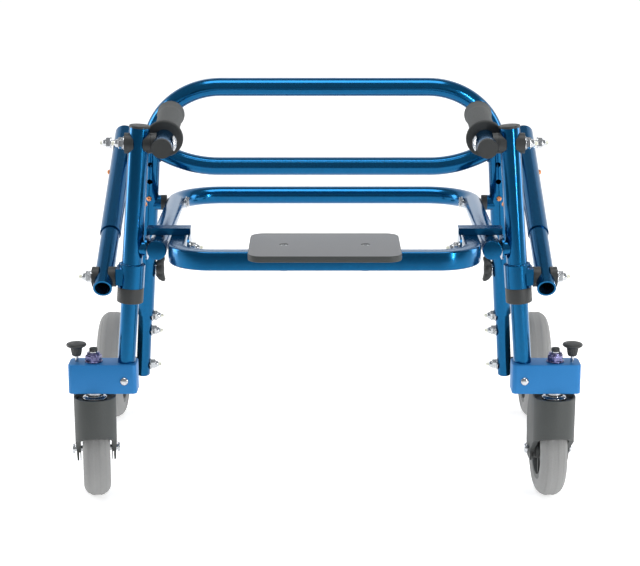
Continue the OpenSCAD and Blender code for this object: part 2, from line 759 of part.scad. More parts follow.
module caster_wheel(side) color(tyre_grey) caster_axle(side)
  hub(caster_hub_d, caster_w - 2 * rim_inset, caster_boss_d, caster_hub_l, hub_web_t);

module caster_tyre(side) color(tyre_grey) caster_axle(side) tyre(caster_d, caster_hub_d, caster_w, tread_r);

// Sliding rear leg with a slot for the spring button
module rear_leg(side) color(blue) on_side(side) {
  low = rear_pt(axle_z - rear_leg_tail);
  top = rear_pt(rear_leg_top_z);
  difference() {
    rod(low, top, rear_leg_d);
    rod(low, top + (top - low) / norm(top - low) * over, rear_leg_d - 2 * rear_leg_wall);
    translate(rear_pt(button_z)) rotate([rake, 0, 0]) rotate([0, -splay, 0])
      translate([-hole_d / 2, -tube_d, -hole_pitch - hole_d]) cube([hole_d, tube_d, rear_leg_top_z]);
    x_rod(axle_at[0] - tube_d, axle_at[0] + tube_d, axle_at[1], axle_at[2], bolt_d);
  }
}

// Axle bolt, inner nut and the drum that carries the one-way pawl
module rear_axle(side) color(steel) on_side(side) {
  in_x = axle_at[0] - rear_leg_d / 2 - washer_d * tan(splay);
  drum_x = axle_at[0] + rear_leg_d / 2 + drum_d / 2 * tan(splay);
  x_rod(in_x, axle_end_x, axle_at[1], axle_at[2], bolt_d);
  acorn_nut(in_x, axle_at[1], axle_at[2], -1);
  x_rod(drum_x, wheel_x - wheel_w / 2 - gap, axle_at[1], axle_at[2], drum_d / 2);
  x_rod(axle_end_x, axle_end_x + head_h, axle_at[1], axle_at[2], head_d);
}

module rear_wheel_axle(side) {
  on_side(side) translate([wheel_x, axle_at[1], axle_at[2]]) rotate(x_way) children();
}

module rear_wheel(side) color(tyre_grey) rear_wheel_axle(side)
  hub(wheel_hub_d, wheel_w - 2 * rim_inset, wheel_boss_d, wheel_w, hub_web_t);

module rear_tyre(side) color(tyre_grey) rear_wheel_axle(side) tyre(wheel_d, wheel_hub_d, wheel_w, tread_r);

// Works along a brace from its front bolt, with +Z towards its rear bolt
module brace_axis() {
  translate(brace_front) rotate([brace_tilt - 90, 0, 0]) children();
}

module brace_outer(side) color(blue) on_side(side) brace_axis() difference() {
  translate([0, 0, brace_l - brace_outer_l]) cylinder(d = brace_d, h = brace_outer_l + brace_end);
  translate([0, 0, brace_l - brace_outer_l - over]) cylinder(d = brace_bore, h = brace_outer_l + brace_end);
  translate([-brace_d, 0, brace_l]) rotate(x_way) cylinder(d = bolt_d + 2 * run, h = 2 * brace_d);
  translate([0, 0, brace_l - brace_button_from_rear]) rotate(x_way) cylinder(d = hole_d, h = brace_d);
}

module brace_inner(side) color(blue) on_side(side) brace_axis() difference() {
  top = brace_l - brace_outer_l + brace_overlap;
  translate([0, 0, -brace_end]) cylinder(d = brace_in_d, h = top + brace_end);
  translate([0, 0, -brace_end - over]) cylinder(d = brace_in_bore, h = top + brace_end + 2 * over);
  translate([-brace_d, 0, 0]) rotate(x_way) cylinder(d = bolt_d + 2 * brace_pivot_play, h = 2 * brace_d);
}

// Black saddles at both ends of a brace
module brace_saddles(side) color(dark_grey) on_side(side) brace_axis() difference() {
  union() {
    x_rod(-brace_in_d / 2 - brace_saddle_t, -brace_in_d / 4, 0, 0, saddle_d);
    x_rod(brace_in_d / 4, brace_in_d / 2 + brace_saddle_t, 0, 0, saddle_d);
  }
  translate([0, 0, -saddle_d]) cylinder(d = brace_in_d, h = 2 * saddle_d);
  translate([-brace_d, 0, 0]) rotate(x_way) cylinder(d = bolt_d + 2 * brace_pivot_play, h = 2 * brace_d);
}

module brace_button(side) color(copper) on_side(side) brace_axis()
  translate([brace_in_d / 2 + gap, 0, brace_l - brace_button_from_rear]) rotate(x_way) {
    depth = (brace_d - brace_in_d) / 2 - gap;
    cylinder(d = button_d, h = depth);
    translate([0, 0, depth]) cylinder(d1 = button_d, d2 = button_d / 2, h = button_h);
  }

back_frame();
middle_rail();
lower_rail();
bracket(-1);  // left_bracket
bracket(1);  // right_bracket
pivot_spacers();
pivot_bolts();
clamp_knob(-1);  // left_clamp_knob
clamp_knob(1);  // right_clamp_knob
leg_button(-1);  // left_leg_button
leg_button(1);  // right_leg_button
seat_frame();
seat_board();
seat_screws();
front_post(-1);  // left_front_post
front_post(1);  // right_front_post
post_fittings(-1);  // left_post_fittings
post_fittings(1);  // right_post_fittings
post_saddles(-1);  // left_post_saddles
post_saddles(1);  // right_post_saddles
post_bolts(-1);  // left_post_bolts
post_bolts(1);  // right_post_bolts
handle_bar(-1);  // left_handle_bar
handle_bar(1);  // right_handle_bar
hand_grip(-1);  // left_hand_grip
hand_grip(1);  // right_hand_grip
handle_fittings(-1);  // left_handle_fittings
handle_fittings(1);  // right_handle_fittings
front_leg(-1);  // left_front_leg
front_leg(1);  // right_front_leg
caster_block(-1);  // left_caster_block
caster_block(1);  // right_caster_block
block_bolt(-1);  // left_block_bolt
block_bolt(1);  // right_block_bolt
lock_plunger(-1);  // left_lock_plunger
lock_plunger(1);  // right_lock_plunger
caster_fork(-1);  // left_caster_fork
caster_fork(1);  // right_caster_fork
caster_hardware(-1);  // left_caster_hardware
caster_hardware(1);  // right_caster_hardware
caster_wheel(-1);  // left_caster_wheel
caster_wheel(1);  // right_caster_wheel
caster_tyre(-1);  // left_caster_tyre
caster_tyre(1);  // right_caster_tyre
rear_leg(-1);  // left_rear_leg
rear_leg(1);  // right_rear_leg
rear_axle(-1);  // left_rear_axle
rear_axle(1);  // right_rear_axle
rear_wheel(-1);  // left_rear_wheel
rear_wheel(1);  // right_rear_wheel
rear_tyre(-1);  // left_rear_tyre
rear_tyre(1);  // right_rear_tyre
brace_outer(-1);  // left_brace_outer
brace_outer(1);  // right_brace_outer
brace_inner(-1);  // left_brace_inner
brace_inner(1);  // right_brace_inner
brace_saddles(-1);  // left_brace_saddles
brace_saddles(1);  // right_brace_saddles
brace_button(-1);  // left_brace_button
brace_button(1);  // right_brace_button
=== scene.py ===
import json
import math

import bmesh
import bpy
from mathutils import Matrix, Vector


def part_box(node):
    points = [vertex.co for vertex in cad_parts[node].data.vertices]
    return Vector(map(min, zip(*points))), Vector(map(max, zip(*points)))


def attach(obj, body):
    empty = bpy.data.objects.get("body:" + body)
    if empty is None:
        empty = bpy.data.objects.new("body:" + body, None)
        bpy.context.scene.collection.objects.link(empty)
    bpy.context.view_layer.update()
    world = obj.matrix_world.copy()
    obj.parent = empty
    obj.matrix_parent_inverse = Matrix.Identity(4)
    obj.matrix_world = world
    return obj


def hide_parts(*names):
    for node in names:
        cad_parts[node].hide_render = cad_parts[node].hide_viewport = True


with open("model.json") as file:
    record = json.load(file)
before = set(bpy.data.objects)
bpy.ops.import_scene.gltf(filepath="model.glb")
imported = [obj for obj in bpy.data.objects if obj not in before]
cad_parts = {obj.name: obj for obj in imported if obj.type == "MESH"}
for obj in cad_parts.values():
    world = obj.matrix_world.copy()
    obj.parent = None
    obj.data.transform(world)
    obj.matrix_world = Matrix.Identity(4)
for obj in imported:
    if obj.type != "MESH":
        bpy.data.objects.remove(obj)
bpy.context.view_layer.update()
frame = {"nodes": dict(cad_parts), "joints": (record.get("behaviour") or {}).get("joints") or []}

# Studio: a pale paper floor that sweeps up behind, seen from the open front of the walker.
# The camera stands at a child's head height, about two and a half metres away, and looks slightly down.
# Soft boxes above and at both sides, and a thin strip in front, draw the long highlights on the tubes.
scene = bpy.context.scene
scene.view_settings.view_transform = "Standard"
image_w, focal_px, sensor_mm = 640, 1790, 36
camera_data = bpy.data.cameras.new("camera")
camera_data.sensor_width = sensor_mm
camera_data.lens = focal_px * sensor_mm / image_w
camera_data.clip_end = 50
camera = bpy.data.objects.new("camera", camera_data)
camera_pitch = math.radians(76)
camera.location = (-0.00584, -2.39819, 0.85828)
camera.rotation_euler = (camera_pitch, 0, 0)
scene.collection.objects.link(camera)
scene.camera = camera


def linear(code):
    """Turns an sRGB hex colour into the linear values that the shaders take."""
    parts = [int(code[i:i + 2], 16) / 255 for i in (1, 3, 5)]
    return [c / 12.92 if c <= 0.04045 else ((c + 0.055) / 1.055) ** 2.4 for c in parts] + [1]


def add(tree, kind, settings=(), links=()):
    """Adds one node to a tree, sets its properties, and fills or links its inputs."""
    made = tree.nodes.new(kind)
    for key, value in dict(settings).items():
        setattr(made, key, value)
    for key, value in dict(links).items():
        if isinstance(value, bpy.types.NodeSocket):
            tree.links.new(value, made.inputs[key])
        else:
            made.inputs[key].default_value = value
    return made


def surface(name, dark, light, grain_mm, roughness, bump_mm=0.0, **shader):
    """A material whose colour, roughness and relief all follow one grain of a real size."""
    material = bpy.data.materials.new(name)
    material.use_nodes = True
    tree = material.node_tree
    tree.nodes.clear()
    place = add(tree, "ShaderNodeTexCoord").outputs["Object"]
    grain = add(tree, "ShaderNodeTexNoise", links={
        "Vector": place, "Scale": 1000 / grain_mm, "Detail": 4.0, "Roughness": 0.6}).outputs["Fac"]
    hollow, crest = 0.3, 0.7
    ramp = add(tree, "ShaderNodeValToRGB", links={"Fac": grain})
    ramp.color_ramp.elements[0].position = hollow
    ramp.color_ramp.elements[0].color = linear(dark)
    ramp.color_ramp.elements[1].position = crest
    ramp.color_ramp.elements[1].color = linear(light)
    gloss = add(tree, "ShaderNodeMapRange", links={
        "Value": grain, "From Min": hollow, "From Max": crest,
        "To Min": roughness[0], "To Max": roughness[1]})
    body = add(tree, "ShaderNodeBsdfPrincipled", links={
        "Base Color": ramp.outputs["Color"], "Roughness": gloss.outputs["Result"], **shader})
    if bump_mm:
        relief = add(tree, "ShaderNodeBump", links={
            "Height": grain, "Distance": bump_mm / 1000, "Strength": 0.6})
        tree.links.new(relief.outputs["Normal"], body.inputs["Normal"])
    add(tree, "ShaderNodeOutputMaterial", links={"Surface": body.outputs["BSDF"]})
    return material


# Seamless paper: matt white with the faintest mottle, glowing as painted light, so only a soft shadow shows.
# It lies on the floor, sweeps up a few metres behind the walker, and is painted grey in front as painted
# shade, past the glowing part.
paper = surface("seamless_paper", "#f3f3f3", "#f6f6f6", 400, (0.9, 0.95),
                **{"Emission Color": linear("#ffffff")})
# From lit_to forward to lit_from the painted glow fades out and the colour turns to the painted shade grey.
lit_from, lit_to, paper_glow, unlit = -1.7, -0.6, 0.5, "#b6b8ba"
paper_tree = paper.node_tree
paper_body = paper_tree.nodes["Principled BSDF"]
paper_ramp = paper_tree.nodes["Color Ramp"]
paper_place = add(paper_tree, "ShaderNodeTexCoord").outputs["Object"]
paper_y = add(paper_tree, "ShaderNodeSeparateXYZ", links={"Vector": paper_place}).outputs["Y"]
paper_lit = add(paper_tree, "ShaderNodeMapRange", links={
    "Value": paper_y, "From Min": lit_from, "From Max": lit_to, "To Min": 0.0, "To Max": paper_glow})
paper_share = add(paper_tree, "ShaderNodeMapRange", links={
    "Value": paper_y, "From Min": lit_from, "From Max": lit_to, "To Min": 0.0, "To Max": 1.0})
paper_shade = add(paper_tree, "ShaderNodeMix", {"data_type": "RGBA"}, {0: paper_share.outputs["Result"]})
shade_in = {socket.identifier: socket for socket in paper_shade.inputs}
shade_in["A_Color"].default_value = linear(unlit)
paper_tree.links.new(paper_ramp.outputs["Color"], shade_in["B_Color"])
shade_out = {socket.identifier: socket for socket in paper_shade.outputs}
paper_tree.links.new(shade_out["Result_Color"], paper_body.inputs["Base Color"])
paper_tree.links.new(paper_lit.outputs["Result"], paper_body.inputs["Emission Strength"])
floor_half, sweep_y, sweep_r, wall_top, sweep_steps = 7.0, 3.0, 1.5, 6.0, 12
profile = [(-floor_half, 0), (sweep_y, 0)]
profile += [(sweep_y + sweep_r * math.sin(t), sweep_r * (1 - math.cos(t))) for t in (
    math.radians(90 * k / sweep_steps) for k in range(1, sweep_steps + 1))]
profile += [(sweep_y + sweep_r, wall_top)]
floor_mesh = bpy.data.meshes.new("floor")
floor_mesh.from_pydata([(x, y, z) for y, z in profile for x in (-floor_half, floor_half)], [], [
    (2 * i, 2 * i + 1, 2 * i + 3, 2 * i + 2) for i in range(len(profile) - 1)])
floor_mesh.shade_smooth()
floor_mesh.materials.append(paper)
floor = bpy.data.objects.new("floor", floor_mesh)
scene.collection.objects.link(floor)

world = bpy.data.worlds.new("studio")
world.use_nodes = True
sky = world.node_tree
sky.nodes.clear()
sky_colour, sky_strength = "#e6e9ec", 0.42
sky_shade = add(sky, "ShaderNodeBackground", links={"Color": linear(sky_colour), "Strength": sky_strength})
add(sky, "ShaderNodeOutputWorld", links={"Surface": sky_shade.outputs[0]})
scene.world = world

for lamp_name, place, aim, size, power in (
        ("top_box", (0.0, -0.3, 2.6), (0, 0, 0.2), (1.8, 1.2), 32),
        ("key_strip", (1.25, -1.5, 0.6), (0, 0, 0.6), (0.05, 1.0), 12),
        ("left_box", (-1.8, 0.4, 0.7), (0, 0, 0.4), (0.6, 1.3), 15),
        ("right_box", (1.8, 0.4, 0.7), (0, 0, 0.4), (0.6, 1.3), 11)):
    lamp_data = bpy.data.lights.new(lamp_name, "AREA")
    lamp_data.shape = "RECTANGLE"
    lamp_data.size, lamp_data.size_y = size
    lamp_data.energy = power
    lamp = bpy.data.objects.new(lamp_name, lamp_data)
    lamp.location = place
    lamp.rotation_euler = (Vector(aim) - Vector(place)).to_track_quat("-Z", "Y").to_euler()
    scene.collection.objects.link(lamp)

# Tube frame: aluminium tube, bent and welded, under a clear candy-blue lacquer over bright metal.
# The lacquer gives deep colour with long sharp streaks; its orange peel is drawn at five millimetres.
# The posts, rails, legs, braces, seat frame and brackets all wear it.
candy_blue = surface("candy_blue_lacquer", "#035785", "#045d8d", 5.0, (0.17, 0.2), 0.001,
                     **{"Metallic": 0.9, "Coat Weight": 0.15, "Coat Roughness": 0.05})
sides = (("left", -1), ("right", 1))
tube_nodes = ["back_frame", "middle_rail", "lower_rail", "left_bracket", "right_bracket"]
tube_nodes += [f"{side}_{n}" for side, _ in sides for n in (
    "front_post", "handle_bar", "front_leg", "rear_leg", "brace_outer", "brace_inner")]


def dress(nodes, material):
    """Gives CAD nodes whose shape is right their finish."""
    for name in nodes:
        frame["nodes"][name].data.materials.clear()
        frame["nodes"][name].data.materials.append(material)


dress(tube_nodes, candy_blue)

# Weld seams: a row of small overlapping beads where one tube runs into another, painted over with it.
# A seam runs round the top of each post's sleeve and round each end of the middle rail.
# The beads are set along the seam's own line at their real pitch.
mm = 0.001
joints = {joint["name"]: joint for joint in frame["joints"]}


def spot(joint):
    """Where a joint sits."""
    return Vector(joints[joint]["pos_m"])


def way(joint):
    """The way a joint's axis points."""
    return Vector(joints[joint]["axis"]).normalized()


def middle(node):
    """The middle of a CAD node's box."""
    low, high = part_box(node)
    return (low + high) / 2


def at_height(point, direction, z):
    """The point of a leaning tube's axis at one height."""
    return point + direction * ((z - point.z) / direction.z)


def square_to(direction):
    """Two ways across a direction, at right angles to it and to each other."""
    across = direction.orthogonal().normalized()
    return across, direction.cross(across).normalized()


def grow(tree_name, base, material, inputs):
    """Runs a Geometry Nodes tree on a base mesh and hands back the plain mesh that it makes."""
    holder = bpy.data.objects.new(base.name, base)
    scene.collection.objects.link(holder)
    modifier = holder.modifiers.new(tree_name, "NODES")
    modifier.node_group = bpy.data.node_groups[tree_name]
    sockets = {item.name: item.identifier for item in modifier.node_group.interface.items_tree}
    for label, value in {**inputs, "Finish": material}.items():
        modifier[sockets[label]] = value
    bpy.context.view_layer.update()
    grown = bpy.data.meshes.new_from_object(holder.evaluated_get(bpy.context.evaluated_depsgraph_get()))
    holder.modifiers.remove(modifier)
    bpy.data.objects.remove(holder)
    return grown


def new_tree(name, sockets):
    """Starts a Geometry Nodes tree with named inputs."""
    tree = bpy.data.node_groups.new(name, "GeometryNodeTree")
    tree.interface.new_socket("Geometry", in_out="INPUT", socket_type="NodeSocketGeometry")
    tree.interface.new_socket("Geometry", in_out="OUTPUT", socket_type="NodeSocketGeometry")
    for label, kind in {**sockets, "Finish": "NodeSocketMaterial"}.items():
        tree.interface.new_socket(label, in_out="INPUT", socket_type=kind)
    return tree, add(tree, "NodeGroupInput").outputs


def close_tree(tree, given, instances):
    """Ends a tree: real faces in place of instances, with their finish."""
    real = add(tree, "GeometryNodeRealizeInstances", links={"Geometry": instances})
    painted = add(tree, "GeometryNodeSetMaterial", links={
        "Geometry": real.outputs[0], "Material": given["Finish"]})
    add(tree, "NodeGroupOutput", links={"Geometry": painted.outputs[0]})


def settle(name, mesh, body, nodes=(), smooth_deg=38):
    """Makes a finished mesh a piece that rides on a body and stands for the CAD nodes it replaces."""
    mesh.shade_smooth()
    mesh.set_sharp_from_angle(angle=math.radians(smooth_deg))
    made = bpy.data.objects.new(name, mesh)
    scene.collection.objects.link(made)
    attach(made, body)
    if nodes:
        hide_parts(*nodes)


tree, given = new_tree("weld_seam", {"Pitch": "NodeSocketFloat", "Bead": "NodeSocketFloat"})
line = add(tree, "GeometryNodeMeshToCurve", links={"Mesh": given["Geometry"]})
dots = add(tree, "GeometryNodeResampleCurve", {"mode": "LENGTH"}, {
    "Curve": line.outputs[0], "Length": given["Pitch"]})
ball = add(tree, "GeometryNodeMeshIcoSphere", links={"Radius": given["Bead"], "Subdivisions": 2})
beads = add(tree, "GeometryNodeInstanceOnPoints", links={
    "Points": dots.outputs[0], "Instance": ball.outputs[0]})
close_tree(tree, given, beads.outputs["Instances"])
weld_bead, weld_pitch, seam_steps = 1.3 * mm, 1.5 * mm, 60


def weld(name, points, body):
    """A painted seam of beads along a closed line of points."""
    base = bpy.data.meshes.new(name)
    base.from_pydata(points, [(i, (i + 1) % len(points)) for i in range(len(points))], [])
    seam = grow("weld_seam", base, candy_blue, {"Pitch": weld_pitch, "Bead": weld_bead})
    settle(name, seam, body, smooth_deg=80)


post_r, tube_r, sleeve_top_z = 13 * mm, 12.7 * mm, 325 * mm
rail_rise, post_rake = math.radians(39), math.radians(16)
for side, sign in sides:
    lean = way(f"{side}_leg_height")
    top = at_height(middle(f"{side}_front_leg"), lean, sleeve_top_z)
    a, b = square_to(lean)
    turns = [2 * math.pi * k / seam_steps for k in range(seam_steps)]
    weld(f"{side}_sleeve_weld", [top + (a * math.cos(t) + b * math.sin(t)) * (post_r + weld_bead / 2)
                                 for t in turns], f"{side}_front")
    rear_way = way(f"{side}_rear_height")
    rear_mid = middle(f"{side}_rear_leg")
    rail_way = Vector((sign * math.cos(rail_rise), 0, math.sin(rail_rise))).normalized()
    rail_way.rotate(Matrix.Rotation(post_rake, 3, "X"))
    rail_end = at_height(rear_mid, rear_way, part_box("middle_rail")[1].z - tube_r / 2)
    # Each point of the seam is where a line along the rail's skin runs into the post's
    a, b = square_to(rail_way)
    seam_points = []
    for t in turns:
        start = rail_end + (a * math.cos(t) + b * math.sin(t)) * tube_r - rail_way * 3 * tube_r
        off = start - rear_mid
        flat = off - rear_way * off.dot(rear_way)
        go = rail_way - rear_way * rail_way.dot(rear_way)
        half_b = flat.dot(go) / go.length_squared
        rest = half_b ** 2 - (flat.length_squared - (tube_r + weld_bead / 3) ** 2) / go.length_squared
        seam_points.append(start + rail_way * (-half_b - math.sqrt(max(rest, 0))))
    weld(f"{side}_rail_weld", seam_points, "frame")


# Nuts and bolt heads: plated steel acorn nuts on washers, each with the bolt's plastic end in its tip.
# One nut is drawn once, with a flanged foot and a rounded hexagon, and set on every bolt of a body.
# They hold the seat hinge, both ends of the braces, the handles and the rear axles, and guide the rear legs.
# The lower rail's arms have flat hexagon heads.
def rounded(corners, steps=5):
    """Walks an outline of (radius, height, rounding) corners and rounds each by its own amount."""
    points = []
    for i, (x, y, soft) in enumerate(corners):
        here = Vector((x, y))
        if not soft or i in (0, len(corners) - 1):
            points.append(here)
            continue
        back, on = Vector(corners[i - 1][:2]) - here, Vector(corners[i + 1][:2]) - here
        start = here + back.normalized() * min(soft, back.length / 2)
        end = here + on.normalized() * min(soft, on.length / 2)
        points += [start * (1 - t) ** 2 + here * 2 * t * (1 - t) + end * t * t
                   for t in (k / steps for k in range(steps + 1))]
    return points


def turned(outline, start=(0, 0, 0), aim=(0, 0, 1), around=48, ring=False, spin=0.0):
    """Turns an outline of (radius, height) points about an axis, as on a lathe."""
    place = Vector((0, 0, 1)).rotation_difference(Vector(aim)).to_matrix().to_4x4()
    place.translation = Vector(start)
    rows, verts, faces = len(outline), [], []
    for k in range(around):
        angle = spin + 2 * math.pi * k / around
        verts += [place @ Vector((r * math.cos(angle), r * math.sin(angle), h)) for r, h in outline]
        on = (k + 1) % around * rows
        faces += [(k * rows + i, on + i, on + (i + 1) % rows, k * rows + (i + 1) % rows)
                  for i in range(rows if ring else rows - 1)]
    return verts, faces


def bands(rows, count):
    """The faces between rings of points that follow each other."""
    return [(low + k, low + (k + 1) % count, low + count + (k + 1) % count, low + count + k)
            for low in range(0, (rows - 1) * count, count) for k in range(count)]


def mesh_of(name, shapes, material):
    """Joins shapes in one mesh, closes its poles and points its faces outwards."""
    mesh = bpy.data.meshes.new(name)
    verts, faces = [], []
    for shape_verts, shape_faces in shapes:
        faces += [tuple(i + len(verts) for i in face) for face in shape_faces]
        verts += shape_verts
    mesh.from_pydata(verts, [], faces)
    work = bmesh.new()
    work.from_mesh(mesh)
    bmesh.ops.remove_doubles(work, verts=work.verts, dist=1e-7)
    bmesh.ops.dissolve_degenerate(work, edges=work.edges, dist=1e-7)
    bmesh.ops.recalc_face_normals(work, faces=work.faces)
    work.to_mesh(mesh)
    work.free()
    mesh.materials.append(material)
    return mesh


def piece(name, shapes, material, body, nodes=(), smooth_deg=38):
    """Joins shapes in one mesh and makes it a piece."""
    settle(name, mesh_of(name, shapes, material), body, nodes, smooth_deg)


# Bright zinc plate: passivated steel, slightly milky, with fine handling marks two millimetres long.
bright_zinc = surface("bright_zinc_plate", "#aeb1b5", "#d6d8da", 2.0, (0.12, 0.24), 0.004, Metallic=1.0)
# Nylon: the unpigmented insert in a nut's tip, waxy and cream white.
cream_nylon = surface("cream_nylon", "#dcdccb", "#ecebdd", 1.5, (0.35, 0.45), 0.005,
                      **{"Subsurface Weight": 0.15, "Subsurface Radius": (0.002, 0.002, 0.001)})

tree, given = new_tree("set_on_bolts", {"Part": "NodeSocketObject"})
bolt_aim = add(tree, "GeometryNodeInputNamedAttribute", {"data_type": "FLOAT_VECTOR"}, {"Name": "aim"})
turn = add(tree, "FunctionNodeAlignRotationToVector", {"axis": "Z"}, {
    "Vector": bolt_aim.outputs["Attribute"]})
part = add(tree, "GeometryNodeObjectInfo", links={"Object": given["Part"]})
copies = add(tree, "GeometryNodeInstanceOnPoints", links={
    "Points": given["Geometry"], "Instance": part.outputs["Geometry"], "Rotation": turn.outputs[0]})
close_tree(tree, given, copies.outputs["Instances"])


def set_on_bolts(name, pattern, places, material, body, nodes=()):
    """Sets a pattern part at each (place, aim) of one body."""
    base = bpy.data.meshes.new(name)
    base.from_pydata([place for place, _ in places], [], [])
    aims = base.attributes.new("aim", "FLOAT_VECTOR", "POINT")
    aims.data.foreach_set("vector", [c for _, aim in places for c in aim])
    settle(name, grow("set_on_bolts", base, material, {"Part": pattern}), body, nodes)


def pattern_of(name, shapes, material):
    """A part drawn once at the origin, kept out of the picture, for copies to be made from."""
    made = bpy.data.objects.new(name, mesh_of(name, shapes, material))
    scene.collection.objects.link(made)
    return made


washer_r, washer_t, hex_r, hex_h, bolt_r = 8.5 * mm, 1.6 * mm, 7.5 * mm, 6.5 * mm, 4 * mm
dome_r, dome_h, tip_r, tip_h, nut_seat = 5.6 * mm, 5 * mm, 3 * mm, 4 * mm, 4 * mm
nut_top, head_top = washer_t + hex_h, washer_t + 3.6 * mm
dome_top = nut_top + dome_h
washer_shape = turned(rounded([(0, -nut_seat, 0), (bolt_r, -nut_seat, 0), (bolt_r, 0, 0),
                               (washer_r, 0, 0.4 * mm), (washer_r, washer_t, 0.6 * mm), (0, washer_t, 0)]))
hex_shape = turned(rounded([(0, washer_t, 0), (hex_r, washer_t, 0.3 * mm), (hex_r, nut_top, 1.2 * mm),
                            (0, nut_top, 0)], 3), around=6)
dome_shape = turned(rounded([(dome_r, washer_t, 0), (dome_r, nut_top, 1 * mm),
                             (tip_r + 0.8 * mm, dome_top, 2.5 * mm), (0, dome_top, 0)]))
tip_shape = turned(rounded([(0, nut_top, 0), (tip_r, nut_top, 0), (tip_r * 0.8, dome_top + tip_h, 1.5 * mm),
                            (0, dome_top + tip_h, 0)]))
head_shape = turned(rounded([(0, washer_t, 0), (hex_r, washer_t, 0.3 * mm),
                             (hex_r, head_top - 0.2 * mm, 0.9 * mm), (0, head_top, 0)], 3), around=6)
acorn = pattern_of("acorn_pattern", [washer_shape, hex_shape, dome_shape], bright_zinc)
bolt_head = pattern_of("bolt_head_pattern", [washer_shape, head_shape], bright_zinc)
tip = pattern_of("tip_pattern", [tip_shape], cream_nylon)

hinge_y, hinge_z = spot("seat_flip").y, spot("seat_flip").z
brace_gap, washer_gap, bend_seat, rear_leg_r = 3.3 * mm, 0.3 * mm, 2 * mm, 10.5 * mm
guide_low_z, guide_high_z = 138 * mm, 163 * mm
nuts, rail_bolts = {"frame": []}, []
for side, sign in sides:
    out, inward = Vector((sign, 0, 0)), Vector((-sign, 0, 0))
    hinge_x = min(abs(c.x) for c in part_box(f"{side}_bracket"))
    spacer = middle("pivot_spacers")
    arm_in_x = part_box("lower_rail")[1].x - 2 * tube_r
    brace_way, brace_mid = way(f"{side}_brace_slide"), middle(f"{side}_brace_inner")
    rear_way, rear_mid = way(f"{side}_rear_height"), middle(f"{side}_rear_leg")
    # The brace's rear bolt is where the brace and the rear post cross, seen from the side
    cross = brace_way.y * rear_way.z - brace_way.z * rear_way.y
    off = rear_mid - brace_mid
    brace_rear = brace_mid + brace_way * ((off.y * rear_way.z - off.z * rear_way.y) / cross)
    brace_front = brace_mid + brace_way * ((hinge_y - brace_mid.y) / brace_way.y)
    brace_out = max(abs(c.x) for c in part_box(f"{side}_brace_outer"))
    saddle_out = max(abs(c.x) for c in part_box(f"{side}_brace_saddles"))
    nuts["frame"] += [(Vector((sign * hinge_x, hinge_y, hinge_z)), inward),
                      (Vector((sign * (brace_out + brace_gap), brace_rear.y, brace_rear.z)), out)]
    rail_bolts.append((Vector((sign * (arm_in_x - bend_seat), spacer.y, spacer.z)), inward))
    handle = spot(f"{side}_handle_tilt")
    post_out = max(abs(c.x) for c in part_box(f"{side}_post_saddles"))
    nuts[f"{side}_front"] = [(Vector((sign * post_out, handle.y, handle.z)), out),
                             (Vector((sign * (saddle_out + washer_gap), brace_front.y, brace_front.z)), out)]
    # The axle's nut goes with the leg; the two guide nuts above it stay with the post
    axle_z = spot(f"{side}_wheel_spin").z
    for body, z in ((f"{side}_rear", axle_z), ("frame", guide_low_z), ("frame", guide_high_z)):
        nuts.setdefault(body, []).append((at_height(rear_mid, rear_way, z) + inward * rear_leg_r, inward))
for body, places in nuts.items():
    set_on_bolts(f"{body}_nuts", acorn, places, bright_zinc, body,
                 ["pivot_bolts"] if body == "frame" else [])
    set_on_bolts(f"{body}_nut_tips", tip, places, cream_nylon, body)
set_on_bolts("rail_bolt_heads", bolt_head, rail_bolts, bright_zinc, "frame")
for pattern in (acorn, bolt_head, tip):
    bpy.data.objects.remove(pattern)

# Handle bolts: a broad domed head on the inner side of each handle, polished, with the bolt behind it.
# The bolt itself runs through handle, saddles and post to the acorn nut outside.
head_r, head_h = 10 * mm, 4.5 * mm
for side, sign in sides:
    handle = spot(f"{side}_handle_tilt")
    head_x = min(abs(c.x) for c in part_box(f"{side}_handle_bar"))
    bolt_l = max(abs(c.x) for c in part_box(f"{side}_post_saddles")) - head_x
    head = rounded([(0, bolt_l, 0), (bolt_r, bolt_l, 0), (bolt_r, 0, 0), (head_r, 0, 0.6 * mm),
                    (head_r, -1.2 * mm, 2 * mm), (head_r / 2, -head_h, 3 * mm), (0, -head_h, 0)])
    shape = turned(head, (sign * head_x, handle.y, handle.z), (sign, 0, 0))
    piece(f"{side}_handle_bolt", [shape], bright_zinc, f"{side}_front",
          [f"{side}_post_bolts"])
